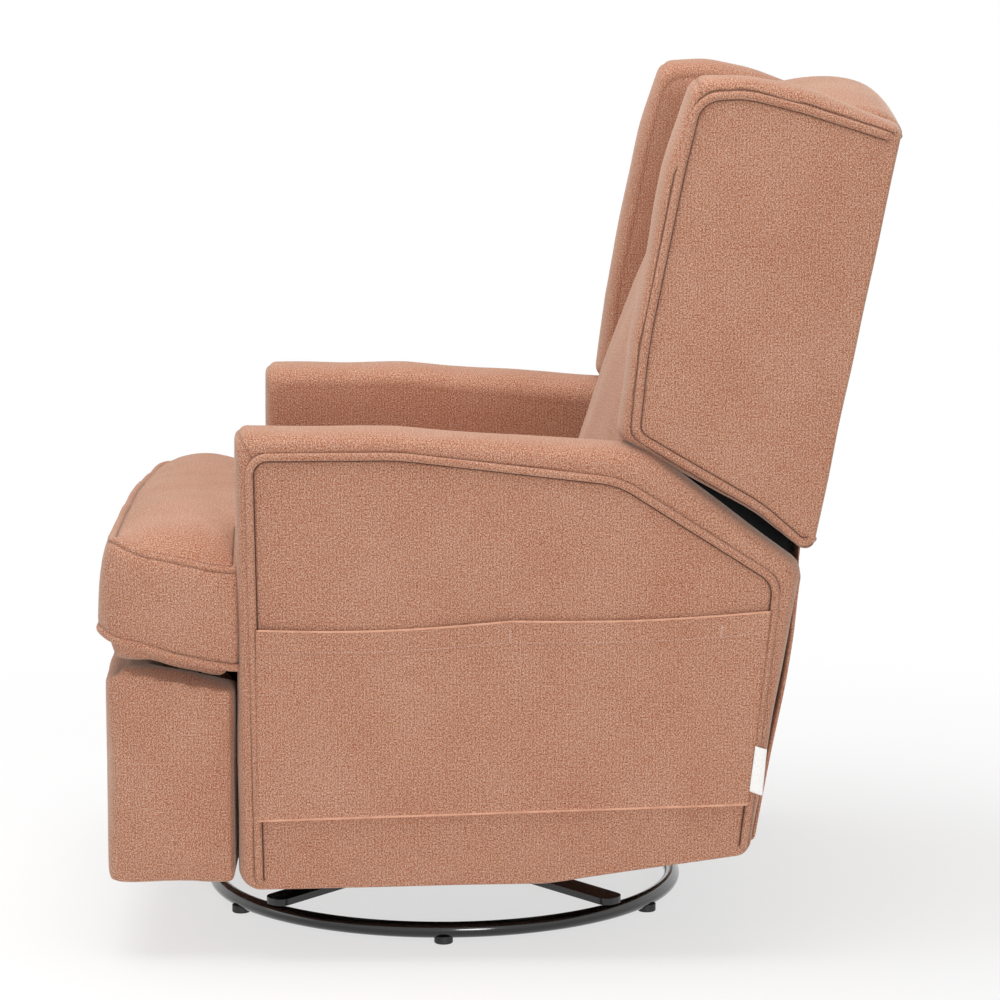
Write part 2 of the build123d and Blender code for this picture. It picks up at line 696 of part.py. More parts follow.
# Seat frame: side rails, front and rear rails, elastic straps and the bolts into the arms
side_rail_corners = (
    (SIDE_RAIL_FRONT, deck_z(SIDE_RAIL_FRONT) - SIDE_RAIL_HEIGHT),
    (SIDE_RAIL_FRONT, deck_z(SIDE_RAIL_FRONT)),
    (SIDE_RAIL_REAR, deck_z(SIDE_RAIL_REAR)),
    (SIDE_RAIL_REAR, deck_z(SIDE_RAIL_REAR) - SIDE_RAIL_HEIGHT),
)
with BuildPart() as seat_side_rails:
    with BuildSketch(Plane.YZ.offset(SIDE_RAIL_INNER)):
        with BuildLine():
            Polyline(*side_rail_corners, close=True)
        make_face()
        with Locations(*[(y, plate_top(y) - BOLT_DROP) for y in BOLT_PLACES_Y]):
            Circle(BOLT_RADIUS + RUNNING, mode=Mode.SUBTRACT)
        with Locations(LIFT_PIVOT, REAR_CONTROL_PIVOT):
            Circle(PIN_HEAD, mode=Mode.SUBTRACT)
    extrude(amount=SIDE_RAIL_OUTER - SIDE_RAIL_INNER)
    mirror(seat_side_rails.part, about=Plane.YZ)
keep(seat_side_rails, "seat_side_rails")

with BuildPart() as seat_front_rail:
    with BuildSketch(Plane.YZ.offset(-SIDE_RAIL_INNER)):
        with BuildLine():
            Polyline(
                (FRONT_RAIL[0], FRONT_RAIL_BOTTOM),
                (FRONT_RAIL[0], deck_z(FRONT_RAIL[0])),
                (FRONT_RAIL[1], deck_z(FRONT_RAIL[1])),
                (FRONT_RAIL[1], FRONT_RAIL_BOTTOM),
                close=True,
            )
        make_face()
    extrude(amount=2 * SIDE_RAIL_INNER)
keep(seat_front_rail, "seat_front_rail")

with BuildPart() as seat_rear_rail:
    with BuildSketch(Plane.YZ.offset(-PLATE_INNER + SOFT_GAP)):
        with BuildLine():
            Polyline(
                (REAR_RAIL[0], deck_z(REAR_RAIL[0]) - REAR_RAIL_HEIGHT),
                (REAR_RAIL[0], deck_z(REAR_RAIL[0])),
                (REAR_RAIL[1], deck_z(REAR_RAIL[1])),
                (REAR_RAIL[1], deck_z(REAR_RAIL[1]) - REAR_RAIL_HEIGHT),
                close=True,
            )
        make_face()
    extrude(amount=2 * (PLATE_INNER - SOFT_GAP))
keep(seat_rear_rail, "seat_rear_rail")

with BuildPart() as seat_straps:
    for index in range(STRAP_COUNT):
        strap_x = (index - (STRAP_COUNT - 1) / 2) * STRAP_PITCH
        with BuildSketch(Plane.YZ.offset(strap_x - STRAP_WIDTH / 2)):
            with BuildLine():
                Polyline(
                    (FRONT_RAIL[0], deck_z(FRONT_RAIL[0])),
                    (REAR_RAIL[1], deck_z(REAR_RAIL[1])),
                    (REAR_RAIL[1], deck_z(REAR_RAIL[1]) + STRAP_THICK),
                    (FRONT_RAIL[0], deck_z(FRONT_RAIL[0]) + STRAP_THICK),
                    close=True,
                )
            make_face()
        extrude(amount=STRAP_WIDTH)
keep(seat_straps, "seat_straps")

ARM_BOARD_INNER = ARM_INNER + ARM_SKIN
with BuildPart() as arm_bolts:
    for bolt_y in BOLT_PLACES_Y:
        add(
            cross_pin(
                (bolt_y, plate_top(bolt_y) - BOLT_DROP),
                BOLT_RADIUS,
                PLATE_INNER,
                ARM_BOARD_INNER + ARM_FRAME_BOARD,
                BOLT_HEAD,
                BOLT_HEAD_THICK,
                False,
            )
        )
    mirror(arm_bolts.part, about=Plane.YZ)
keep(arm_bolts, "arm_bolts")

# Seat cushion: a T-shaped pillow with ears in front of the arms
with BuildPart() as seat_cushion:
    loft([crowned_section(*row, CUSHION_SIDE_BULGE) for row in CUSHION_EARS])
    loft(
        [
            crowned_section(
                y, CUSHION_MAIN_HALF, deck_z(y) + STRAP_THICK + SOFT_GAP, edge, crown, CUSHION_SIDE_BULGE
            )
            for y, edge, crown in CUSHION_MAIN_TOP
        ]
    )
keep(seat_cushion, "seat_cushion")

# Arms: a padded cover over a tray-shaped wooden frame
ARM_CORNERS = (
    (ARM_FRONT, ARM_BOTTOM),
    (ARM_FRONT, ARM_TOP),
    ARM_CREST_START,
    ARM_CREST_END,
    ARM_REAR_TOP,
    ARM_REAR_BOTTOM,
    ARM_BELLY,
)
HANDLE_SIZE = (
    RELEASE_OPENING[0] + 2 * RELEASE_WALL,
    RELEASE_OPENING[1] + 2 * RELEASE_WALL,
)


def arm_outline(start, inset):
    """The arm's side outline on a plane across the chair, drawn in by an inset."""
    with BuildSketch(Plane.YZ.offset(start)) as outline:
        with BuildLine():
            FilletPolyline(*ARM_CORNERS, radius=list(ARM_RADII), close=True)
        make_face()
        if inset > 0:
            offset(amount=-inset, kind=Kind.INTERSECTION)
    return outline.sketch


def arm_cover():
    """The upholstered shell of an arm, open underneath, with its lower inner face left off."""
    with BuildPart() as cover:
        extrude(arm_outline(ARM_INNER, 0), amount=ARM_WIDTH)
        fillet(cover.faces().sort_by(Axis.X)[-1].edges(), ARM_EDGE)
        fillet(cover.faces().sort_by(Axis.X)[0].edges(), ARM_EDGE)
        inside = arm_outline(ARM_INNER + ARM_SKIN, ARM_PADDING)
        extrude(inside, amount=ARM_WIDTH - 2 * ARM_SKIN, mode=Mode.SUBTRACT)
        inside_front = ARM_FRONT + ARM_PADDING
        inside_rear = ARM_REAR_BOTTOM[0] - 2 * ARM_PADDING
        with BuildSketch(Plane.YZ.offset(ARM_INNER + ARM_SKIN)):
            with Locations(((inside_front + inside_rear) / 2, ARM_BOTTOM + ARM_PADDING)):
                Rectangle(inside_rear - inside_front, 3 * ARM_PADDING)
        extrude(amount=ARM_WIDTH - 2 * ARM_SKIN, mode=Mode.SUBTRACT)
        with BuildSketch(Plane.YZ.offset(ARM_INNER)):
            with Locations(((inside_front + inside_rear) / 2, ARM_BARE_TOP / 2)):
                Rectangle(inside_rear - inside_front, ARM_BARE_TOP)
        extrude(amount=ARM_SKIN, mode=Mode.SUBTRACT)
    return cover.part


with BuildPart() as arm_cover_left:
    add(arm_cover())
keep(arm_cover_left, "arm_cover_left")

with BuildPart() as arm_cover_right:
    mirror(arm_cover_left.part, about=Plane.YZ)
    with BuildSketch(Plane.YZ.offset(-ARM_OUTER)):
        with Locations((RELEASE_Y, RELEASE_Z)):
            Rectangle(HANDLE_SIZE[0] + 2 * SOFT_GAP, HANDLE_SIZE[1] + 2 * SOFT_GAP)
    extrude(amount=ARM_SKIN, mode=Mode.SUBTRACT)
keep(arm_cover_right, "arm_cover_right")

with BuildPart() as arm_frame_left:
    tray = arm_outline(ARM_BOARD_INNER, ARM_PADDING + SOFT_GAP)
    extrude(tray, amount=ARM_WIDTH - 2 * ARM_SKIN - SOFT_GAP)
    hollow = arm_outline(ARM_BOARD_INNER + ARM_FRAME_BOARD, ARM_PADDING + ARM_FRAME_MEMBER)
    extrude(hollow, amount=ARM_WIDTH, mode=Mode.SUBTRACT)
    with BuildSketch(Plane.YZ.offset(ARM_BOARD_INNER)):
        with Locations(*[(y, plate_top(y) - BOLT_DROP) for y in BOLT_PLACES_Y]):
            Circle(BOLT_RADIUS + RUNNING)
    extrude(amount=ARM_FRAME_BOARD, mode=Mode.SUBTRACT)
keep(arm_frame_left, "arm_frame_left")
keep(other_side(arm_frame_left.part), "arm_frame_right")

# Side pockets: a cloth front on three sewn edges, open at the top
POCKET_CORNERS = (*POCKET_TOP, *POCKET_BOTTOM)
with BuildPart() as side_pocket_left:
    with BuildSketch(Plane.YZ.offset(ARM_OUTER)):
        with BuildLine():
            Polyline(*POCKET_CORNERS, close=True)
        make_face()
    extrude(amount=POCKET_ROOM + POCKET_CLOTH)
    with BuildSketch(Plane.YZ.offset(ARM_OUTER)):
        with BuildLine():
            Polyline(
                (POCKET_TOP[0][0] + POCKET_EDGE, POCKET_TOP[0][1] + POCKET_EDGE),
                (POCKET_TOP[1][0] - POCKET_EDGE, POCKET_TOP[1][1] + POCKET_EDGE),
                (POCKET_BOTTOM[0][0] - POCKET_EDGE, POCKET_BOTTOM[0][1] + POCKET_EDGE),
                (POCKET_BOTTOM[1][0] + POCKET_EDGE, POCKET_BOTTOM[1][1] + POCKET_EDGE),
                close=True,
            )
        make_face()
    extrude(amount=POCKET_ROOM, mode=Mode.SUBTRACT)
keep(side_pocket_left, "side_pocket_left")
keep(other_side(side_pocket_left.part), "side_pocket_right")

# Release handle: a cup set in the right arm, a paddle and its hinge pin
FACE_X = -ARM_OUTER
PADDLE_AXIS_X = FACE_X + PADDLE_PIN_INSET
PADDLE_AXIS_Z = RELEASE_Z + RELEASE_OPENING[1] / 2 - PADDLE_PIN_DROP
with BuildPart() as release_cup:
    with BuildSketch(Plane.YZ.offset(FACE_X)):
        with Locations((RELEASE_Y, RELEASE_Z)):
            RectangleRounded(HANDLE_SIZE[0], HANDLE_SIZE[1], 2 * RELEASE_WALL)
    extrude(amount=RELEASE_DEPTH)
    with BuildSketch(Plane.YZ.offset(FACE_X)):
        with Locations((RELEASE_Y, RELEASE_Z)):
            RectangleRounded(
                HANDLE_SIZE[0] + 2 * RELEASE_FLANGE, HANDLE_SIZE[1] + 2 * RELEASE_FLANGE, RELEASE_FLANGE
            )
    extrude(amount=-RELEASE_WALL)
    with BuildSketch(Plane.YZ.offset(FACE_X - RELEASE_WALL)):
        with Locations((RELEASE_Y, RELEASE_Z)):
            RectangleRounded(*RELEASE_OPENING, RELEASE_WALL)
    extrude(amount=RELEASE_DEPTH, mode=Mode.SUBTRACT)
    with BuildSketch(Plane.XZ.offset(-RELEASE_Y)):
        with Locations((PADDLE_AXIS_X, PADDLE_AXIS_Z)):
            Circle(PADDLE_PIN_RADIUS + RUNNING)
    extrude(amount=HANDLE_SIZE[0] / 2, both=True, mode=Mode.SUBTRACT)
keep(release_cup, "release_cup")

PADDLE_HALF = RELEASE_OPENING[0] / 2 - PADDLE_SIDE_GAP
PADDLE_HUB = PADDLE_PIN_RADIUS * 2
with BuildPart() as release_paddle:
    with BuildSketch(Plane.XZ.offset(-RELEASE_Y)):
        with Locations((PADDLE_AXIS_X, PADDLE_AXIS_Z)):
            Circle(PADDLE_HUB)
        with Locations((PADDLE_AXIS_X - PADDLE_HUB + PADDLE_THICK / 2, PADDLE_AXIS_Z - PADDLE_HEIGHT / 2)):
            Rectangle(PADDLE_THICK, PADDLE_HEIGHT)
        with Locations((PADDLE_AXIS_X, PADDLE_AXIS_Z)):
            Circle(PADDLE_PIN_RADIUS + RUNNING, mode=Mode.SUBTRACT)
    extrude(amount=PADDLE_HALF, both=True)
    fillet(release_paddle.edges().filter_by(Axis.Y).group_by(Axis.Z)[0], PADDLE_ROUND)
keep(release_paddle, "release_paddle")

with BuildPart() as release_pin:
    with BuildSketch(Plane.XZ.offset(-RELEASE_Y)):
        with Locations((PADDLE_AXIS_X, PADDLE_AXIS_Z)):
            Circle(PADDLE_PIN_RADIUS)
    extrude(amount=HANDLE_SIZE[0] / 2, both=True)
keep(release_pin, "release_pin")

# Rear of the seat box: a stretcher between the arms and a padded panel on it
panel_front = REAR_PANEL_THICK - REAR_PANEL_PROUD
panel_corners = (
    (arm_rear_line(REAR_PANEL_BOTTOM) - panel_front, REAR_PANEL_BOTTOM),
    (arm_rear_line(REAR_PANEL_BOTTOM) + REAR_PANEL_PROUD, REAR_PANEL_BOTTOM),
    (arm_rear_line(REAR_PANEL_TOP) + REAR_PANEL_PROUD, REAR_PANEL_TOP),
    (arm_rear_line(REAR_PANEL_TOP) - panel_front, REAR_PANEL_TOP),
)
PANEL_HALF = ARM_INNER - SOFT_GAP
with BuildPart() as rear_panel:
    with BuildSketch(Plane.YZ.offset(-PANEL_HALF)):
        with BuildLine():
            Polyline(*panel_corners, close=True)
        make_face()
    extrude(amount=2 * PANEL_HALF)
    with BuildSketch(Plane.XZ.offset(-ARM_REAR_BOTTOM[0])):
        for side in (-1, 1):
            with Locations((side * PANEL_HALF, REAR_PANEL_TOP)):
                Rectangle(2 * REAR_PANEL_NOTCH[0], 2 * REAR_PANEL_NOTCH[1])
    extrude(amount=ARM_REAR_TOP[0] - ARM_REAR_BOTTOM[0], both=True, mode=Mode.SUBTRACT)
keep(rear_panel, "rear_panel")

stretcher_corners = (
    (arm_rear_line(STRETCHER_Z[0]) - panel_front - STRETCHER_DEPTH, STRETCHER_Z[0]),
    (arm_rear_line(STRETCHER_Z[0]) - panel_front, STRETCHER_Z[0]),
    (arm_rear_line(STRETCHER_Z[1]) - panel_front, STRETCHER_Z[1]),
    (arm_rear_line(STRETCHER_Z[1]) - panel_front - STRETCHER_DEPTH, STRETCHER_Z[1]),
)
with BuildPart() as rear_stretcher:
    with BuildSketch(Plane.YZ.offset(-PANEL_HALF)):
        with BuildLine():
            Polyline(*stretcher_corners, close=True)
        make_face()
    extrude(amount=2 * PANEL_HALF)
keep(rear_stretcher, "rear_stretcher")

# Back: steel brackets on the pivot pins, wooden posts and rails, straps, padding and wings
bracket_corners = (
    (BACK_PIVOT[0] - PLATE_LOBE, BACK_PIVOT[1]),
    (BACK_PIVOT[0] + PLATE_LOBE, BACK_PIVOT[1]),
    (back_line(POST_BOTTOM) - OUTSIDE_SKIN - POST_DEPTH, POST_BOTTOM + POST_DEPTH),
    (back_line(BACK_RAIL_SPANS[1][0]) - OUTSIDE_SKIN - SOFT_GAP, BACK_RAIL_SPANS[1][0]),
    (back_line(BACK_RAIL_SPANS[1][0]) - OUTSIDE_SKIN - POST_DEPTH, BACK_RAIL_SPANS[1][0]),
    (BACK_PIVOT[0] + PLATE_LOBE, POST_BOTTOM + POST_DEPTH),
)
POST_MIDDLE = OUTSIDE_SKIN + SOFT_GAP + POST_DEPTH / 2
BACK_BOLT_PLACES = [(back_line(z) - POST_MIDDLE, z) for z in BACK_BOLT_HEIGHTS]
with BuildPart() as back_bracket:
    with BuildSketch(Plane.YZ.offset(BACK_BRACKET_INNER)):
        with BuildLine():
            FilletPolyline(*bracket_corners, radius=list(BACK_BRACKET_RADII), close=True)
        make_face()
        with Locations(BACK_PIVOT):
            Circle(PLATE_LOBE)
            Circle(BACK_PIN_RADIUS + RUNNING, mode=Mode.SUBTRACT)
        with Locations(*BACK_BOLT_PLACES):
            Circle(BOLT_RADIUS + RUNNING, mode=Mode.SUBTRACT)
    extrude(amount=BACK_BRACKET_THICK)
keep(both_sides(back_bracket.part), "back_brackets")

with BuildPart() as back_pivot_pins:
    add(
        cross_pin(
            BACK_PIVOT,
            BACK_PIN_RADIUS,
            PLATE_INNER - PIN_HEAD_THICK,
            BACK_BRACKET_OUTER,
            BACK_PIN_RADIUS * 2,
            PIN_HEAD_THICK,
            True,
        )
    )
    mirror(back_pivot_pins.part, about=Plane.YZ)
keep(back_pivot_pins, "back_pivot_pins")

POST_INNER = POST_OUTER - POST_WIDTH
with BuildPart() as back_posts:
    add(leaning_bar(POST_BOTTOM, POST_TOP, OUTSIDE_SKIN + SOFT_GAP, POST_DEPTH, POST_INNER, POST_WIDTH))
    with BuildSketch(Plane.YZ.offset(POST_INNER)):
        with Locations(*BACK_BOLT_PLACES):
            Circle(BOLT_RADIUS + RUNNING)
    extrude(amount=POST_WIDTH, mode=Mode.SUBTRACT)
    mirror(back_posts.part, about=Plane.YZ)
keep(back_posts, "back_posts")

with BuildPart() as back_bolts:
    for place in BACK_BOLT_PLACES:
        add(
            cross_pin(
                place, BOLT_RADIUS, POST_INNER, BACK_BRACKET_OUTER, BOLT_HEAD, BOLT_HEAD_THICK, False
            )
        )
    mirror(back_bolts.part, about=Plane.YZ)
keep(back_bolts, "back_bolts")

with BuildPart() as back_rails:
    for low, high in BACK_RAIL_SPANS:
        add(leaning_bar(low, high, OUTSIDE_SKIN + SOFT_GAP, POST_DEPTH, -POST_INNER, 2 * POST_INNER))
keep(back_rails, "back_rails")

with BuildPart() as back_straps:
    for height in BACK_STRAP_HEIGHTS:
        add(
            leaning_bar(
                height,
                height + BACK_STRAP_HEIGHT,
                OUTSIDE_SKIN + SOFT_GAP + POST_DEPTH,
                STRAP_THICK,
                -POST_OUTER,
                2 * POST_OUTER,
            )
        )
keep(back_straps, "back_straps")

PAD_SET_IN = OUTSIDE_SKIN + SOFT_GAP + POST_DEPTH + STRAP_THICK + SOFT_GAP
with BuildPart() as back_pad:
    loft(
        [
            level_section(z, PAD_HALF, back_line(z) - PAD_SET_IN, middle, side)
            for z, middle, side in PAD_LEVELS
        ]
    )
    loft([level_section(z, PAD_HALF, rear, middle, side) for z, rear, middle, side in ROLL_LEVELS])
    with BuildSketch(Plane.XY.offset(PAD_LEVELS[0][0])):
        for side in (-1, 1):
            with Locations((side * (BACK_BRACKET_INNER - SOFT_GAP + PAD_HALF / 2), BACK_PIVOT[0])):
                Rectangle(PAD_HALF, 2 * PAD_HALF)
    extrude(amount=BACK_RAIL_SPANS[1][0] + 2 * SOFT_GAP - PAD_LEVELS[0][0], mode=Mode.SUBTRACT)
keep(back_pad, "back_pad")

with BuildPart() as wing_left:
    with BuildSketch(Plane.YZ.offset(WING_INNER)):
        with BuildLine():
            FilletPolyline(*WING_CORNERS, radius=list(WING_RADII), close=True)
        make_face()
    extrude(amount=WING_WIDTH)
    fillet(wing_left.faces().sort_by(Axis.X)[-1].edges(), WING_EDGE)
    fillet(wing_left.faces().sort_by(Axis.X)[0].edges(), WING_EDGE)
    with BuildSketch(Plane.YZ.offset(WING_INNER + WING_BOARD_INSET - SOFT_GAP)):
        with BuildLine():
            Polyline(*WING_BOARD_CORNERS, close=True)
        make_face()
        with BuildLine():
            Polyline(
                WING_BOARD_CORNERS[2],
                (WING_BOARD_CORNERS[2][0] + WING_BOARD_INSET, WING_BOARD_CORNERS[2][1]),
                (WING_BOARD_CORNERS[3][0] + WING_BOARD_INSET, WING_BOARD_CORNERS[3][1]),
                WING_BOARD_CORNERS[3],
                close=True,
            )
        make_face()
    extrude(amount=WING_BOARD_THICK + 2 * SOFT_GAP, mode=Mode.SUBTRACT)
keep(wing_left, "wing_left")
keep(other_side(wing_left.part), "wing_right")

with BuildPart() as wing_boards:
    with BuildSketch(Plane.YZ.offset(WING_INNER + WING_BOARD_INSET)):
        with BuildLine():
            Polyline(
                (WING_BOARD_CORNERS[0][0] + SOFT_GAP, WING_BOARD_CORNERS[0][1] + SOFT_GAP),
                (WING_BOARD_CORNERS[1][0] + SOFT_GAP, WING_BOARD_CORNERS[1][1] - 2 * SOFT_GAP),
                (WING_BOARD_CORNERS[2][0], WING_BOARD_CORNERS[2][1] - SOFT_GAP),
                (WING_BOARD_CORNERS[3][0], WING_BOARD_CORNERS[3][1] + 2 * SOFT_GAP),
                close=True,
            )
        make_face()
    extrude(amount=WING_BOARD_THICK)
    mirror(wing_boards.part, about=Plane.YZ)
keep(wing_boards, "wing_boards")


def outside_section(z):
    """The outside back's outline at one height: flat in front and arched behind."""
    rear = back_line(z)
    with BuildSketch(Plane.XY.offset(z)) as section:
        with BuildLine():
            Line((-OUTSIDE_HALF, rear), (-OUTSIDE_HALF, rear - OUTSIDE_SKIN))
            Line((-OUTSIDE_HALF, rear - OUTSIDE_SKIN), (OUTSIDE_HALF, rear - OUTSIDE_SKIN))
            Line((OUTSIDE_HALF, rear - OUTSIDE_SKIN), (OUTSIDE_HALF, rear))
            ThreePointArc((OUTSIDE_HALF, rear), (0, rear + OUTSIDE_CROWN), (-OUTSIDE_HALF, rear))
        make_face()
    return section.sketch


with BuildPart() as outside_back:
    loft([outside_section(OUTSIDE_BOTTOM), outside_section(OUTSIDE_TOP)])
    add(leaning_bar(TAIL_BOTTOM, OUTSIDE_BOTTOM, 0, OUTSIDE_SKIN, -TAIL_HALF, 2 * TAIL_HALF))
keep(outside_back, "outside_back")
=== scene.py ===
import json
import logging
import math
from dataclasses import dataclass
from enum import Enum
from typing import Any, Callable, Sequence

import bmesh
import bpy
import numpy as np
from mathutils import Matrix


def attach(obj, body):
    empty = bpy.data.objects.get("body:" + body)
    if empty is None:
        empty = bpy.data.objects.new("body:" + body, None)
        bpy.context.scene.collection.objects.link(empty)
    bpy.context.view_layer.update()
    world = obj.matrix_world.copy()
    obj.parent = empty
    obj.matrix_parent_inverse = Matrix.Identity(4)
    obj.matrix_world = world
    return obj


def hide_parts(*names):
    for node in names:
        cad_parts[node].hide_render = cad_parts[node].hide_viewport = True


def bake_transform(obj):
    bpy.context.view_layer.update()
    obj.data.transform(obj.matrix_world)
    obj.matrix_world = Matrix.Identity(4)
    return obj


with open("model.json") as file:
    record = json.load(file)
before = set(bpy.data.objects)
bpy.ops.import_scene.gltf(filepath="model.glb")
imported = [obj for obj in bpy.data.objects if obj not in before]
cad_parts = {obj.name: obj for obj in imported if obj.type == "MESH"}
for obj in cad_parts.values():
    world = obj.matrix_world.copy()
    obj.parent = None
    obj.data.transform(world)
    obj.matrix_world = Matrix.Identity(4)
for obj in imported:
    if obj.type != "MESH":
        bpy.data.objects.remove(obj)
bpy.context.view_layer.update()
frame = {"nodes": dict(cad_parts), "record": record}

LOG = logging.getLogger("recliner")
Array = np.ndarray
Colour = tuple[float, float, float]
Corners = Sequence[tuple[float, float]]

# Sizes shared by several pieces, in metres
WELT_RADIUS = 0.0044
WELT_TUCK = 0.0045
SEAM_PITCH = 0.004
PANEL_PITCH = 0.006
LEAN_FOOT = (0.357, 0.487)
LEAN_SLOPE = 88.0 / 445.0
ARM_OUTER = 0.386
ARM_INNER = 0.276
ARM_REAR = ((0.288, 0.130), (0.346, 0.466))
SWIVEL_Y = -0.060

# Directions, colours and the threads' angle on bias-cut piping
ACROSS = np.array((1.0, 0.0, 0.0))
UP = np.array((0.0, 0.0, 1.0))
WHITE = (1.0, 1.0, 1.0)
BIAS = math.pi / 4
FULL_TURN = 2.0 * math.pi


class Side(Enum):
    """The two sides of the chair, as the sign of X."""

    LEFT = 1
    RIGHT = -1


def back_line(z: Array | float) -> Array | float:
    """Place along Y of the back's leaning rear line at a height."""
    return LEAN_FOOT[0] + LEAN_SLOPE * (z - LEAN_FOOT[1])


def arm_rear_line(z: Array | float) -> Array | float:
    """Place along Y of the arms' straight rear edge at a height."""
    (low_y, low_z), (high_y, high_z) = ARM_REAR
    return low_y + (z - low_z) * (high_y - low_y) / (high_z - low_z)


def linear(red: float, green: float, blue: float) -> Colour:
    """Turn a display colour of 0 to 255 into the linear values that shaders take."""
    values = np.array((red, green, blue)) / 255.0
    return tuple(np.where(values <= 0.04045, values / 12.92, ((values + 0.055) / 1.055) ** 2.4).tolist())


def unit(vectors: Array) -> Array:
    """Vectors scaled to length one along the last axis."""
    return vectors / np.maximum(np.linalg.norm(vectors, axis=-1, keepdims=True), 1e-12)


def smooth_step(low: float, high: float, values: Array) -> Array:
    """A cubic ramp from 0 at low to 1 at high."""
    share = np.clip((values - low) / (high - low), 0.0, 1.0)
    return share * share * (3.0 - 2.0 * share)


def ripple(points: Array, seed: int, wavelength: float) -> Array:
    """Gentle seeded unevenness: a sum of sine waves in scattered directions.

    Args:
        points: Places of shape (..., 3), in metres.
        seed: Number that fixes the pattern.
        wavelength: Typical distance between crests, in metres.

    Returns:
        Values of about -1 to 1, one for each place.
    """
    rng = np.random.default_rng(seed)
    ways = unit(rng.normal(size=(12, 3)))
    pace = FULL_TURN / wavelength * rng.uniform(0.6, 1.5, 12)
    phase = rng.uniform(0.0, FULL_TURN, 12)
    return np.sin(points @ (ways * pace[:, None]).T + phase).sum(axis=-1) / 4.5


def resample(path: Array, count: int, closed: bool) -> Array:
    """Points evenly spaced by length along a polyline.

    Args:
        path: Points of shape (n, d).
        count: Number of points wanted.
        closed: Whether the last point joins the first.

    Returns:
        Points of shape (count, d).
    """
    line = np.vstack([path, path[:1]]) if closed else path
    steps = np.linalg.norm(np.diff(line, axis=0), axis=1)
    along = np.concatenate([[0.0], np.cumsum(steps)])
    places = np.linspace(0.0, along[-1], count, endpoint=not closed)
    return np.stack([np.interp(places, along, line[:, axis]) for axis in range(line.shape[1])], axis=1)


def sampled_outline(
    corners: Corners, radii: Sequence[float], counts: Sequence[int], turn_points: int = 16
) -> Array:
    """A closed outline with rounded corners, sampled corner by corner.

    Each corner becomes the arc that touches both of its sides: the arc's ends lie radius over the tangent
    of half the corner's angle away, and points between them turn evenly about its centre. Each side gets
    its own count of points, so two outlines with the same counts match point by point.

    Args:
        corners: Corner points, anticlockwise.
        radii: One radius for each corner.
        counts: Points on the side that follows each corner.
        turn_points: Points on each arc.

    Returns:
        Points of shape (n, 2).
    """
    points = np.asarray(corners, dtype=float)
    radius = np.asarray(radii, dtype=float)[:, None]
    before = unit(np.roll(points, 1, axis=0) - points)
    after = unit(np.roll(points, -1, axis=0) - points)
    half = np.arccos(np.clip((before * after).sum(1, keepdims=True), -1.0, 1.0)) / 2.0
    centre = points + unit(before + after) * radius / np.sin(half)
    start = points + before * radius / np.tan(half) - centre
    end = points + after * radius / np.tan(half) - centre
    sweep = (math.pi - 2.0 * half)[:, None]
    share = np.linspace(0.0, 1.0, turn_points)[None, :, None]
    arcs = np.sin((1.0 - share) * sweep) * start[:, None] + np.sin(share * sweep) * end[:, None]
    arcs = centre[:, None] + arcs / np.sin(sweep)
    pieces = []
    for place, count in enumerate(counts):
        following = arcs[(place + 1) % len(arcs), 0]
        between = np.linspace(arcs[place, -1], following, count + 2)[1:-1]
        pieces += [arcs[place], between]
    return np.concatenate(pieces)


def matched_outlines(
    crest: Corners,
    crest_radii: Sequence[float],
    edge: Corners,
    edge_radii: Sequence[float],
    pitch: float = SEAM_PITCH,
) -> tuple[Array, Array]:
    """Two outlines with the same corners in order, sampled alike: the outer crest and the sewn edge."""
    points = np.asarray(crest, dtype=float)
    lengths = np.linalg.norm(np.roll(points, -1, axis=0) - points, axis=1)
    counts = np.ceil(lengths / pitch).astype(int).tolist()
    return sampled_outline(crest, crest_radii, counts), sampled_outline(edge, edge_radii, counts)


def rectangle_outlines(
    half: float, low: float, high: float, inset: float, radius: float, edge_radius: float
) -> tuple[Array, Array]:
    """Crest and sewn edge of an upright rectangle, the edge set in from the crest on every side."""
    crest = ((-half, low), (half, low), (half, high), (-half, high))
    edge = tuple((u - math.copysign(inset, u), v + inset * (1 if v == low else -1)) for u, v in crest)
    return matched_outlines(crest, (radius,) * 4, edge, (edge_radius,) * 4, PANEL_PITCH)


def shares(rows: int, columns: int) -> tuple[Array, Array]:
    """Shares from 0 to 1 along the rows and along the columns of a grid."""
    return np.meshgrid(np.linspace(0.0, 1.0, rows), np.linspace(0.0, 1.0, columns), indexing="ij")


def outward(outline: Array) -> Array:
    """Outward normals of a closed anticlockwise outline, one for each point."""
    tangent = unit(np.roll(outline, -1, axis=0) - np.roll(outline, 1, axis=0))
    return np.stack([tangent[:, 1], -tangent[:, 0]], axis=1)


def open_run(path: Array, keep: Array) -> Array:
    """The stretch of a closed path where keep is true, as one open path.

    Args:
        path: Points of shape (n, d) of a closed path.
        keep: True for each point that stays, in one unbroken stretch.

    Returns:
        The kept points in order.
    """
    start = int(np.flatnonzero(keep & ~np.roll(keep, 1))[0])
    turned = np.roll(path, -start, axis=0)
    return turned[np.roll(keep, -start)]


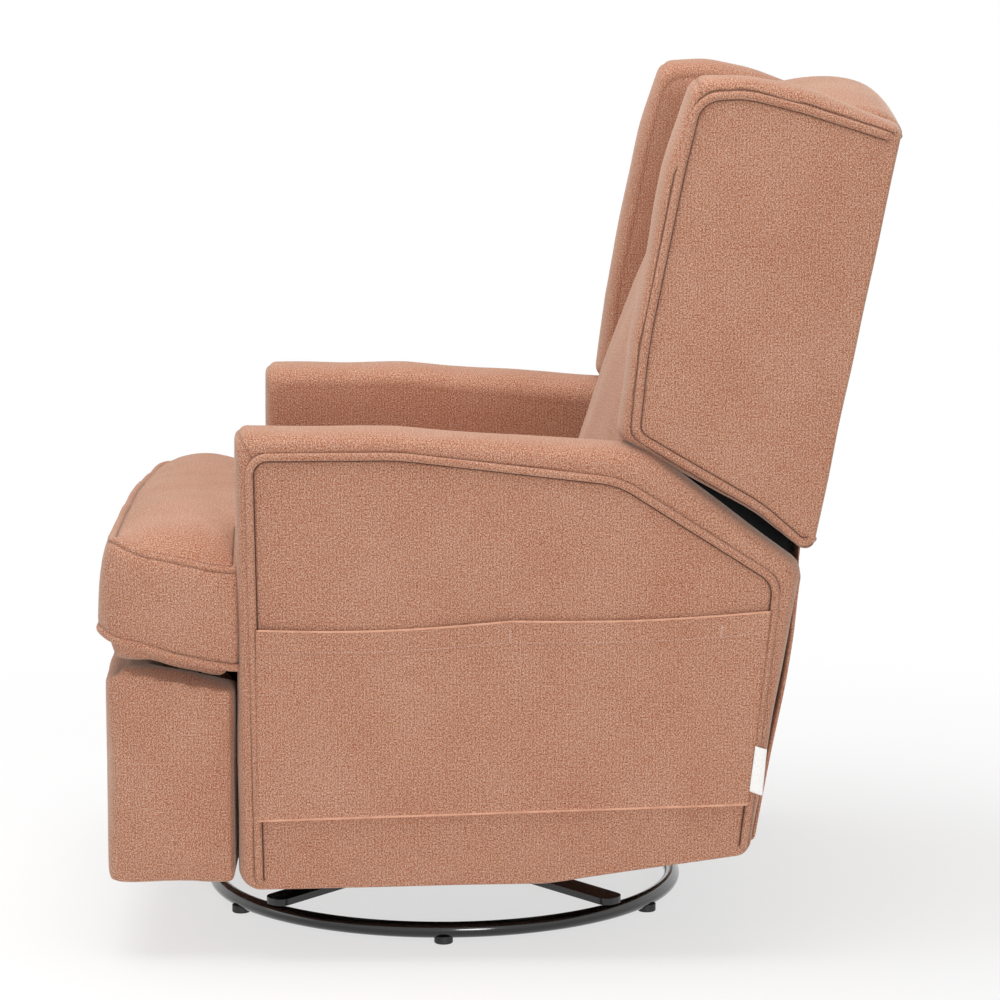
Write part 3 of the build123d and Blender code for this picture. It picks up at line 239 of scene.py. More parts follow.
def mesh_object(name: str, vertices: Array, faces: list, seam: Array | None = None) -> bpy.types.Object:
    """A smooth-shaded mesh object at the origin, with its faces turned outwards.

    Args:
        name: The piece's name.
        vertices: Points of shape (n, 3), in metres.
        faces: Lists of vertex numbers.
        seam: How much painted shade each point takes beside a sewn seam, 0 to 1.

    Returns:
        The new object, linked to the scene.
    """
    mesh = bpy.data.meshes.new(name)
    mesh.from_pydata(vertices.tolist(), [], faces)
    # the seam attribute is painted shade: how much the cloth darkens in the crevices beside its seams
    if seam is not None:
        mesh.attributes.new("seam", "FLOAT", "POINT").data.foreach_set("value", seam.astype(np.float32))
    shape = bmesh.new()
    shape.from_mesh(mesh)
    bmesh.ops.remove_doubles(shape, verts=shape.verts, dist=1e-6)
    bmesh.ops.recalc_face_normals(shape, faces=shape.faces)
    shape.to_mesh(mesh)
    shape.free()
    mesh.shade_smooth()
    piece = bpy.data.objects.new(name, mesh)
    bpy.context.scene.collection.objects.link(piece)
    return piece


def grid_faces(rows: int, columns: int, wrap: bool) -> Array:
    """Four-sided faces of a grid of points, joined end to end along the rows where wrap is true."""
    index = np.arange(rows * columns).reshape(rows, columns)
    here = index if wrap else index[:-1]
    there = np.roll(index, -1, axis=0) if wrap else index[1:]
    corners = [here[:, :-1], there[:, :-1], there[:, 1:], here[:, 1:]]
    return np.stack(corners, axis=-1).reshape(-1, 4)


def grid_object(
    name: str, grid: Array, wrap: bool = True, poles: bool = True, seam: Array | None = None
) -> bpy.types.Object:
    """A mesh from a grid of points.

    Args:
        name: The piece's name.
        grid: Points of shape (rows, columns, 3).
        wrap: Whether the last row joins the first.
        poles: Whether the first and last columns are each closed by a fan to their middle.
        seam: How much painted shade each point takes beside a sewn seam, of shape (rows, columns).

    Returns:
        The new object.
    """
    rows, columns = grid.shape[:2]
    faces = grid_faces(rows, columns, wrap).tolist()
    vertices = grid.reshape(-1, 3)
    depth = None if seam is None else seam.ravel()
    if poles:
        index = np.arange(rows * columns).reshape(rows, columns)
        for offset, column in enumerate((0, columns - 1)):
            rim = index[:, column]
            middle = np.full(rows, rows * columns + offset)
            faces += np.stack([rim, np.roll(rim, -1), middle], axis=1).tolist()
        vertices = np.vstack([vertices, grid[:, 0].mean(axis=0), grid[:, -1].mean(axis=0)])
        depth = None if depth is None else np.concatenate([depth, [0.0, 0.0]])
    return mesh_object(name, vertices, faces, depth)


def tube_grid(path: Array, radius: float, aside: Array, closed: bool = False, sides: int = 12) -> Array:
    """A round cord along a path: a circle in the plane of two directions square to the path.

    Args:
        path: Points of shape (n, 3).
        radius: The cord's radius.
        aside: A direction, or one for each point, that is never along the path.
        closed: Whether the path is a loop.
        sides: Number of points round the cord.

    Returns:
        Points of shape (n, sides + 1, 3), tapered at the ends of an open path.
    """
    if closed:
        tangent = unit(np.roll(path, -1, axis=0) - np.roll(path, 1, axis=0))
    else:
        tangent = unit(np.gradient(path, axis=0))
    first = unit(np.cross(tangent, np.broadcast_to(aside, path.shape)))
    second = np.cross(tangent, first)
    turn = np.linspace(0.0, FULL_TURN, sides + 1)
    size = np.full(len(path), radius)
    if not closed:
        size[[0, -1]] = radius * 0.25
        size[[1, -2]] = radius * 0.8
    ring = first[:, None] * np.cos(turn)[None, :, None] + second[:, None] * np.sin(turn)[None, :, None]
    return path[:, None] + ring * size[:, None, None]


def tube_object(
    name: str, path: Array, radius: float, aside: Array, closed: bool = False
) -> bpy.types.Object:
    """A round cord of cloth-covered piping along a path, closed at its ends."""
    grid = tube_grid(path, radius, aside, closed)
    rows, columns = grid.shape[:2]
    faces = grid_faces(rows, columns, closed).tolist()
    if not closed:
        faces += [list(range(columns - 1)), list(range((rows - 1) * columns, rows * columns - 1))]
    return mesh_object(name, grid.reshape(-1, 3), faces)


@dataclass
class BoxedPad:
    """A padded slab of cloth: two crowned panels joined by a bulging border.

    In its own coordinates a slab has outlines in the plane (u, v) and a depth w. A panel starts at its sewn
    edge, steps in along the edge's normal and then runs straight to the middle. It stands proud by a crown
    that nears its full height as one minus the exponential of the distance to the edge, less a pull-in
    beside the edge. A border point lies between the two sewn edges and is drawn out to the crest by a power
    of the sine of its place across.
    """

    crest: Array
    edge: Array
    near: Callable[[Array], Array]
    far: Callable[[Array], Array]
    crown: float
    far_crown: float = 0.003
    spread: float = 0.05
    far_spread: float = 0.018
    dip: float = 0.003
    far_edge: Array | None = None
    sewn: Array | None = None
    far_sewn: bool = False
    far_sag: Callable[[Array, Array], Array] | None = None
    # strength of the painted shade beside the seams: on the panel, then on the border
    seam_shade_strengths: tuple[float, float] = (0.95, 0.6)
    # distance of the painted shade line from the sewn edge: on the panel, then on the border
    reach: tuple[float, float] = (0.0051, 0.0050)
    fullness: float = 0.5
    far_fullness: float = 0.8
    middle: tuple | None = None
    panel_rings: int = 22
    seed: int = 1
    unevenness: float = 0.0012
    pucker: float = 0.0006
    mitres: Sequence[tuple[float, float, float]] = ()
    beside: tuple = (0.0, 0.0012, 0.0028, 0.0040, 0.0047, 0.0054, 0.0064, 0.0080)
    border_rings: int = 18
    pull: float = 0.005
    broad_wave: float = 0.17
    # widths of the painted shade lines beside the seams
    seam_shade_widths: tuple[float, float] = (0.0011, 0.0012)
    mitre_share: float = 0.6

    def distance(self, flat: Array, edge: Array) -> Array:
        """Softened distance of plane points to a closed edge.

        Along a straight edge the sum of the inverse sixth powers of the distances to its points is three
        eighths of pi over the fifth power of the distance, so that sum gives a distance without ridges.
        """
        length = np.linalg.norm(np.roll(edge, -1, axis=0) - np.roll(edge, 1, axis=0), axis=1) / 2.0
        gap = np.empty(flat.shape[:2])
        for ring in range(flat.shape[1]):
            square = ((flat[:, ring, None] - edge[None]) ** 2).sum(axis=2)
            true = np.sqrt(square.min(axis=1))
            soft = (0.375 * math.pi / (length / np.maximum(square, 1e-8) ** 3).sum(axis=1)) ** 0.2
            gap[:, ring] = true + smooth_step(0.008, 0.03, true) * (soft - true)
        return gap

    def stitched(self) -> Array:
        """How firmly each outline point is sewn, as a column."""
        return (np.ones(len(self.edge)) if self.sewn is None else self.sewn)[:, None]

    def panel(self, near: bool, way: float) -> tuple[Array, Array]:
        """One panel from its edge to its middle, and how much painted shade each point takes beside the
        seam.
        """
        edge = self.edge if near or self.far_edge is None else self.far_edge
        level = self.near if near else self.far
        crown, spread = (self.crown, self.spread) if near else (self.far_crown, self.far_spread)
        seed = self.seed if near else self.seed + 7
        sewn = self.stitched() * (1.0 if near or self.far_sewn else 0.0)
        steps = np.array(self.beside)
        beside = edge[:, None] - outward(edge)[:, None] * steps[None, :, None]
        middle = edge.mean(axis=0) if self.middle is None else np.array(self.middle)
        share = (np.arange(1, self.panel_rings) / self.panel_rings) ** 1.6
        rest = beside[:, -1:] + (middle - beside[:, -1:]) * share[None, :, None]
        gap = np.concatenate([np.broadcast_to(steps, beside.shape[:2]), self.distance(rest, edge)], axis=1)
        flat = np.concatenate([beside, rest], axis=1)
        spot = np.dstack([flat, np.zeros(gap.shape)])
        proud = crown * (1.0 - np.exp(-gap / spread)) - sewn * self.dip * np.exp(-gap / self.pull)
        proud = proud + smooth_step(0.0, 0.07, gap) * self.unevenness * ripple(spot, seed, self.broad_wave)
        tight = np.exp(-gap / 0.014) * smooth_step(0.003, 0.008, gap) * sewn
        proud = proud + self.pucker * tight * ripple(spot, seed + 5, 0.022)
        if not near and self.far_sag is not None:
            proud = proud + self.far_sag(flat, gap)
        # painted shade: a thin dark line on the panel just in from the sewn edge, for the crevice beside the
        # welt
        seam = sewn * self.seam_shade_strengths[0] * np.exp(-(((gap - self.reach[0]) / self.seam_shade_widths[0]) ** 2))
        return np.dstack([flat, level(flat) + way * proud]), seam

    def grid(self) -> tuple[Array, Array]:
        """The slab's surface.

        Returns:
            Points (u, v, w) of shape (outline points, rings, 3), and how much painted shade each takes
            beside a seam.
        """
        far_edge = self.edge if self.far_edge is None else self.far_edge
        near_depth = self.near(self.edge)[:, None]
        far_depth = self.far(far_edge)[:, None]
        way = 1.0 if near_depth.mean() > far_depth.mean() else -1.0
        near_panel, near_seam_shade = self.panel(True, way)
        far_panel, far_seam_shade = self.panel(False, -way)
        half = 0.5 * (np.arange(1, self.border_rings + 1) / self.border_rings) ** 2.6
        across = np.concatenate([half, 1.0 - half[-2::-1]])
        turn = ((1.0 - np.cos(math.pi * across)) / 2.0)[None, :, None]
        depth = near_depth + (far_depth - near_depth) * turn[..., 0]
        power = np.where(across < 0.5, self.fullness, self.far_fullness)
        out = (np.sin(math.pi * across) ** power)[None, :, None]
        base = self.edge[:, None] + (far_edge - self.edge)[:, None] * turn
        flat = base + (self.crest[:, None] - base) * out
        near_gap = np.hypot(np.linalg.norm(flat - self.edge[:, None], axis=2), depth - near_depth)
        far_gap = np.hypot(np.linalg.norm(flat - far_edge[:, None], axis=2), depth - far_depth)
        gap = np.minimum(near_gap, far_gap) if self.far_sewn else near_gap
        # painted shade: a thin dark line on the border just beside the sewn edge, for the crevice next to
        # the welt
        line = np.exp(-(((gap - self.reach[1]) / self.seam_shade_widths[1]) ** 2))
        seam = self.stitched() * self.seam_shade_strengths[1] * line
        spot = np.dstack([flat, depth])
        sway = ripple(spot, self.seed + 13, 0.13) * self.unevenness * np.sin(math.pi * across)
        tight = np.exp(-gap / 0.02) * smooth_step(0.003, 0.008, gap) * self.stitched()
        sway = sway + self.pucker * ripple(spot, self.seed + 17, 0.025) * tight
        for u, v, deep in self.mitres:
            place = np.linalg.norm(self.crest - np.array((u, v)), axis=1).argmin()
            away = np.linalg.norm(self.crest - self.crest[place], axis=1)[:, None]
            sewn = across < self.mitre_share
            sway = sway - deep * np.exp(-((away / 0.0026) ** 2)) * sewn
            # painted shade along the mitre's crease
            seam = np.maximum(seam, 0.4 * np.exp(-((away / 0.0013) ** 2)) * sewn)
        flat = flat + unit(self.crest - self.edge)[:, None] * sway[..., None]
        surface = np.concatenate([near_panel[:, ::-1], np.dstack([flat, depth]), far_panel], axis=1)
        return surface, np.concatenate([near_seam_shade[:, ::-1], seam, far_seam_shade], axis=1)

    def welt_line(self, proud: float) -> Array:
        """Points (u, v, w) along the near sewn edge, where the piping lies."""
        return np.column_stack([self.edge, self.near(self.edge) + proud])

    def far_welt_line(self, proud: float, out: float) -> Array:
        """Points (u, v, w) along the far sewn edge, a little out from it."""
        edge = self.edge if self.far_edge is None else self.far_edge
        return np.column_stack([edge + outward(edge) * out, self.far(edge) - proud])


def tucked(line: Array, depth: float, points: int = 7) -> Array:
    """An open welt path whose two ends sink into the cloth by a depth along w."""
    share = np.clip(1.0 - np.arange(len(line)) / points, 0.0, 1.0)
    sunk = line.copy()
    sunk[:, 2] -= depth * (share**2 + share[::-1] ** 2)
    return sunk


def level_at(value: float) -> Callable[[Array], Array]:
    """A panel that lies flat at one depth."""
    return lambda plane: np.full(plane.shape[:-1], value)


class Sock:
    """A shader socket that takes part in Python arithmetic: each operation adds a Math node."""

    def __init__(self, tree: "NodeTree", out: Any) -> None:
        """Keep the tree and the output socket."""
        self.tree = tree
        self.out = out

    def math(self, operation: str, first: Any, second: Any = 0.0) -> "Sock":
        """A Math node on two values or sockets."""
        return self.tree.value("ShaderNodeMath", {"operation": operation}, {0: first, 1: second})

    def __add__(self, other: Any) -> "Sock":
        """This plus other."""
        return self.math("ADD", self, other)

    __radd__ = __add__

    def __rsub__(self, other: Any) -> "Sock":
        """Other minus this."""
        return self.math("SUBTRACT", other, self)

    def __mul__(self, other: Any) -> "Sock":
        """This times other."""
        return self.math("MULTIPLY", self, other)

    __rmul__ = __mul__

    def sine(self) -> "Sock":
        """The sine of this."""
        return self.math("SINE", self)


class NodeTree:
    """A tree of shader nodes, filled node by node."""

    def __init__(self, tree: bpy.types.NodeTree) -> None:
        """Keep the tree."""
        self.tree = tree

    def node(self, kind: str, settings: dict | None = None, inputs: dict | None = None) -> Any:
        """Add a node.

        Args:
            kind: The node's type.
            settings: Its own settings; "stops" gives a colour ramp's places and colours.
            inputs: Values or Socks by input name or number.

        Returns:
            The new node.
        """
        made = self.tree.nodes.new(kind)
        for key, value in (settings or {}).items():
            if key == "stops":
                ramp = made.color_ramp.elements
                while len(ramp) < len(value):
                    ramp.new(0.5)
                for stop, (place, colour) in zip(ramp, value):
                    stop.position = place
                    stop.color = (*colour, 1.0)
            else:
                setattr(made, key, value)
        for key, value in (inputs or {}).items():
            self.feed(made.inputs[key], value)
        return made

    def feed(self, socket: Any, value: Any) -> None:
        """Give a socket a value or a link."""
        if isinstance(value, Sock):
            self.tree.links.new(value.out, socket)
        elif isinstance(value, tuple) and len(value) == 3 and socket.type == "RGBA":
            socket.default_value = (*value, 1.0)
        else:
            socket.default_value = value

    def value(
        self, kind: str, settings: dict | None = None, inputs: dict | None = None, out: Any = 0
    ) -> Sock:
        """Add a node and wrap one of its outputs."""
        return Sock(self, self.node(kind, settings, inputs).outputs[out])

    def looked_at(self) -> Sock:
        """One for a ray from the camera or from a glossy surface, else nothing."""
        path = self.node("ShaderNodeLightPath")
        return Sock(self, path.outputs["Is Camera Ray"]) + Sock(self, path.outputs["Is Glossy Ray"])

    def show(self, share: Sock, first: Sock, second: Sock) -> None:
        """Send a mix of two shaders to the tree's output."""
        shown = self.value("ShaderNodeMixShader", {}, {0: share, 1: first, 2: second})
        output = next(node for node in self.tree.nodes if node.type.startswith("OUTPUT"))
        self.feed(output.inputs["Surface"], shown)


class Shader(NodeTree):
    """A material with one Principled surface."""

    def __init__(self, name: str) -> None:
        """Start an empty material."""
        self.material = bpy.data.materials.new(name)
        self.material.use_nodes = True
        super().__init__(self.material.node_tree)
        self.surface = self.tree.nodes["Principled BSDF"]

    def place(self) -> Sock:
        """The piece's own coordinates."""
        return self.value("ShaderNodeTexCoord", {}, {}, "Object")

    def axes(self, vector: Sock) -> list[Sock]:
        """A vector's three parts."""
        parts = self.node("ShaderNodeSeparateXYZ", {}, {"Vector": vector})
        return [Sock(self, part) for part in parts.outputs]

    def mix(self, share: Any, first: Any, second: Any) -> Sock:
        """Mix two colours by a share."""
        settings = {"data_type": "RGBA", "blend_type": "MIX"}
        return self.value("ShaderNodeMix", settings, {0: share, 6: first, 7: second}, 2)

    def noise(self, vector: Sock, scale: Sequence[float], detail: float = 2.0, rough: float = 0.5) -> Sock:
        """Cloudy noise with its own scale along each axis."""
        stretched = self.value("ShaderNodeMapping", {}, {"Vector": vector, "Scale": tuple(scale)})
        inputs = {"Vector": stretched, "Scale": 1.0, "Detail": detail, "Roughness": rough}
        return self.value("ShaderNodeTexNoise", {}, inputs)

    def ramp(self, share: Sock, stops: Sequence[tuple[float, Colour]]) -> Sock:
        """A colour ramp."""
        return self.value("ShaderNodeValToRGB", {"stops": stops}, {0: share})

    def bump(self, height: Sock, strength: float, distance: float) -> Sock:
        """A surface normal from a height."""
        inputs = {"Height": height, "Strength": strength, "Distance": distance}
        return self.value("ShaderNodeBump", {}, inputs)

    def dress(self, **inputs: Any) -> bpy.types.Material:
        """Feed the surface's sockets, named with underscores for spaces, and return the material."""
        for key, value in inputs.items():
            self.feed(self.surface.inputs[key.replace("_", " ")], value)
        return self.material


@dataclass(frozen=True)
class SlubCloth:
    """Heathered upholstery cloth: red, salmon and pale threads that run up the cloth in short slubs."""

    name: str = "terracotta_slub_cloth"
    red: Colour = linear(138, 70, 44)
    salmon: Colour = linear(175, 119, 91)
    pale: Colour = linear(204, 171, 148)
    ash: Colour = linear(174, 140, 126)
    # painted shade: the dark colour laid into the crevices beside the seams
    seam: Colour = linear(44, 22, 16)
    rib_pitch: float = 0.0041
    thread_pitch: tuple[float, float] = (0.0016, 0.0013)

    def material(self) -> bpy.types.Material:
        """Threads from stretched noise on the cloth's own map, a fine plain weave in the bump, and painted
        shade beside the seams.
        """
        shader = Shader(self.name)
        weave = shader.value("ShaderNodeUVMap", {"uv_map": "weave"}, {}, "UV")
        # how much painted shade each point takes beside a seam
        seam = shader.value("ShaderNodeAttribute", {"attribute_name": "seam"}, {}, "Fac")
        slub = shader.noise(weave, (800.0, 520.0, 1.0), 2.0, 0.65)
        fine = shader.noise(weave, (1300.0, 1000.0, 1.0), 1.0)
        streak = shader.noise(weave, (640.0, 60.0, 1.0), 1.0)
        cloud = shader.noise(weave, (12.0, 8.0, 1.0), 2.0)
        fleck = shader.noise(weave, (620.0, 300.0, 3.0), 1.0)
        across, along, _ = shader.axes(weave)
        rib = (across * (FULL_TURN / self.rib_pitch) + streak * 5.0).sine()
        tone = slub * 0.58 + fine * 0.30 + streak * 0.07 + cloud * 0.05 + rib * 0.010
        colour = shader.ramp(tone, ((0.42, self.red), (0.5, self.salmon), (0.58, self.pale)))
        ashen = shader.value("ShaderNodeMapRange", {}, {"Value": fleck, "From Min": 0.5, "From Max": 0.72})
        colour = shader.mix(ashen * 0.6, colour, self.ash)
        # painted shade: darken the cloth towards the seam colour in the crevices beside the seams
        colour = shader.mix(seam * 0.9, colour, self.seam)
        warp, weft = (FULL_TURN / pitch for pitch in self.thread_pitch)
        threads = (across * warp).sine() * (along * weft).sine()
        height = threads * 0.5 + slub * 1.2 + fine * 0.8 + rib * 0.25
        return shader.dress(
            Base_Color=colour,
            Roughness=0.92 - 0.1 * fine,
            Normal=shader.bump(height, 0.22, 0.0004),
            Specular_IOR_Level=0.2,
            Sheen_Weight=0.36,
            Sheen_Roughness=0.4,
            Sheen_Tint=(1.0, 0.93, 0.8),
        )


@dataclass(frozen=True)
class MottledFinish:
    """Two tones in soft patches with a fine grain: paint, plating, moulded plastic or thread.

    Patches are the size, detail and roughness of the noise that gives both the tone and the roughness,
    which is a base and a change. Relief is the strength and depth of the grain, where there is any.
    """

    name: str
    tones: tuple[tuple[float, Colour], tuple[float, Colour]]
    patches: tuple[float, float, float]
    roughness: tuple[float, float]
    grain: tuple[float, float, float] | None = None
    grain_detail: float = 1.0
    relief: tuple[float, float] = (0.2, 0.0003)
    metallic: float = 0.0
    coat: tuple[float, float] = (0.0, 0.03)

    def material(self) -> bpy.types.Material:
        """Tone and roughness from the same patches, and the grain in the bump."""
        shader = Shader(self.name)
        place = shader.place()
        scale, detail, rough = self.patches
        patch = shader.noise(place, (scale,) * 3, detail, rough)
        base, change = self.roughness
        if self.grain is not None:
            grain = shader.noise(place, self.grain, self.grain_detail)
            shader.dress(Normal=shader.bump(grain, *self.relief))
        return shader.dress(
            Base_Color=shader.ramp(patch, self.tones),
            Roughness=base + change * patch,
            Metallic=self.metallic,
            Coat_Weight=self.coat[0],
            Coat_Roughness=self.coat[1],
        )


BLACK_GLOSS = MottledFinish(
    "black_gloss_paint", ((0.55, linear(7, 7, 8)), (0.9, linear(22, 22, 22))), (34.0, 4.0, 0.65),
    (0.08, 0.14), grain=(260.0, 260.0, 260.0), relief=(0.12, 0.0004), coat=(0.5, 0.05),
)
ZINC_STEEL = MottledFinish(
    "zinc_steel", ((0.3, (0.36, 0.36, 0.34)), (0.7, (0.5, 0.5, 0.48))), (60.0, 3.0, 0.5),
    (0.28, 0.22), grain=(1800.0, 240.0, 240.0), grain_detail=2.0, relief=(0.15, 0.0002), metallic=1.0,
)
MOULDED_PLASTIC = MottledFinish(
    "moulded_plastic", ((0.4, linear(26, 26, 27)), (0.8, linear(46, 45, 45))), (40.0, 3.0, 0.5),
    (0.42, 0.2), grain=(1500.0, 1500.0, 1500.0),
)
PALE_THREAD = MottledFinish(
    "pale_thread", ((0.35, linear(188, 152, 138)), (0.65, linear(206, 178, 166))), (60.0, 1.0, 0.5),
    (0.7, 0.1),
)
# painted highlight: a cloth paler than the pocket's, for the light caught along its rolled edges
PAINTED_HIGHLIGHT_EDGE = MottledFinish(
    "painted_highlight_edge", ((0.35, linear(198, 144, 117)), (0.65, linear(212, 160, 132))), (60.0, 1.0, 0.5),
    (0.7, 0.1),
)


@dataclass(frozen=True)
class FrameWood:
    """Bare timber and plywood of the hidden frame."""

    name: str = "frame_wood"
    pale: Colour = linear(205, 170, 124)
    dark: Colour = linear(164, 122, 78)

    def material(self) -> bpy.types.Material:
        """Long grain along the chair, with pores in the bump."""
        shader = Shader(self.name)
        place = shader.place()
        grain = shader.noise(place, (90.0, 7.0, 90.0), 4.0, 0.6)
        pores = shader.noise(place, (700.0, 40.0, 700.0), 2.0)
        colour = shader.ramp(grain * 0.75 + pores * 0.25, ((0.36, self.dark), (0.62, self.pale)))
        return shader.dress(
            Base_Color=colour, Roughness=0.62 + 0.2 * pores, Normal=shader.bump(pores, 0.25, 0.0004)
        )


@dataclass(frozen=True)
class Webbing:
    """Black elastic webbing."""

    name: str = "elastic_webbing"
    colour: Colour = linear(38, 37, 37)
    rib_pitch: float = 0.003

    def material(self) -> bpy.types.Material:
        """Ribs across and fuzz along the strap."""
        shader = Shader(self.name)
        place = shader.place()
        ribs = (shader.axes(place)[0] * (FULL_TURN / self.rib_pitch)).sine()
        fuzz = shader.noise(place, (500.0, 500.0, 500.0), 2.0)
        colour = shader.ramp(fuzz, ((0.3, linear(22, 22, 22)), (0.75, self.colour)))
        return shader.dress(
            Base_Color=colour, Roughness=0.86 + 0.1 * fuzz, Normal=shader.bump(ribs + fuzz, 0.4, 0.0006)
        )


@dataclass(frozen=True)
class WhiteTape:
    """Smooth white woven tape, quite blank."""

    name: str = "white_tape"
    colour: Colour = linear(240, 239, 236)

    def material(self) -> bpy.types.Material:
        """Satin white with a fine rib."""
        shader = Shader(self.name)
        weave = shader.value("ShaderNodeUVMap", {"uv_map": "weave"}, {}, "UV")
        fine = shader.noise(weave, (1200.0, 300.0, 1.0), 1.0)
        colour = shader.ramp(fine, ((0.3, linear(228, 226, 222)), (0.6, self.colour)))
        relief = shader.bump(fine, 0.2, 0.0002)
        return shader.dress(Base_Color=colour, Roughness=0.55 + 0.1 * fine, Normal=relief)


class Finishes:
    """The materials, each made once, by the record's slot names."""

    def __init__(self) -> None:
        """Make every finish."""
        self.tape = WhiteTape().material()
        self.by_slot = {
            "terracotta_fabric": SlubCloth().material(),
            "black_metal": BLACK_GLOSS.material(),
            "zinc_steel": ZINC_STEEL.material(),
            "frame_wood": FrameWood().material(),
            "black_webbing": Webbing().material(),
            "black_plastic": MOULDED_PLASTIC.material(),
            "pale_thread": PALE_THREAD.material(),
            "painted_highlight_edge": PAINTED_HIGHLIGHT_EDGE.material(),
        }


def weave_map(piece: bpy.types.Object, turn: float = 0.0) -> None:
    """Lay the cloth's map on a piece: each face takes the two axes that it faces least, in metres.

    Threads run up the sides and from front to back on top. A bias-cut piece turns the map.

    Args:
        piece: A mesh object.
        turn: Angle of the threads, in radians.
    """
    mesh = piece.data
    corner = np.empty(len(mesh.loops), dtype=np.int32)
    mesh.loops.foreach_get("vertex_index", corner)
    normals = np.empty(len(mesh.polygons) * 3)
    mesh.polygons.foreach_get("normal", normals)
    sides = np.empty(len(mesh.polygons), dtype=np.int32)
    mesh.polygons.foreach_get("loop_total", sides)
    place = coordinates(mesh)[corner]
    facing = np.abs(np.repeat(normals.reshape(-1, 3), sides, axis=0)).argmax(axis=1)
    across = np.where(facing == 0, place[:, 1], place[:, 0])
    along = np.where(facing == 2, place[:, 1], place[:, 2])
    turned = np.stack([
        across * math.cos(turn) - along * math.sin(turn),
        across * math.sin(turn) + along * math.cos(turn),
    ], axis=1)
    layer = mesh.uv_layers.get("weave") or mesh.uv_layers.new(name="weave")
    layer.data.foreach_set("uv", turned.astype(np.float32).ravel())


class SubAssembly:
    """What every sub-assembly shares: dressing a piece and reporting it."""

    finishes: Finishes
    body: str

    def dress(
        self,
        piece: bpy.types.Object,
        nodes: Sequence[str] = (),
        slot: str = "terracotta_fabric",
        bias: float = 0.0,
        ride: bool = True,
    ) -> bpy.types.Object:
        """Give a piece its finish, its body and the CAD nodes that it stands for.

        Args:
            piece: The finished mesh.
            nodes: CAD nodes that it replaces.
            slot: The record's material slot.
            bias: Angle of the threads on cloth.
            ride: Whether the piece rides on this sub-assembly's body.

        Returns:
            The same piece.
        """
        weave_map(piece, bias)
        piece.data.materials.clear()
        piece.data.materials.append(self.finishes.by_slot[slot])
        if ride:
            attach(piece, self.body)
        if nodes:
            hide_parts(*nodes)
        LOG.info("%s: %d faces on %s", piece.name, len(piece.data.polygons), self.body)
        return piece

    def welt(self, name: str, line: Array, aside: Array = ACROSS, closed: bool = False) -> None:
        """Lay piping of bias-cut cloth along a line."""
        self.dress(tube_object(name, line, WELT_RADIUS, aside, closed), bias=BIAS)


def thicken(sheet: bpy.types.Object, thickness: float, offset: float = -1.0) -> None:
    """Give a sheet its thickness."""
    wall = sheet.modifiers.new("cloth", "SOLIDIFY")
    wall.thickness = thickness
    wall.offset = offset


def sided(grid: Array, side: Side) -> Array:
    """Slab coordinates (u, v, w) turned to the frame: u along Y, v along Z and w across the chair."""
    return np.stack([grid[..., 2] * side.value, grid[..., 0], grid[..., 1]], axis=-1)


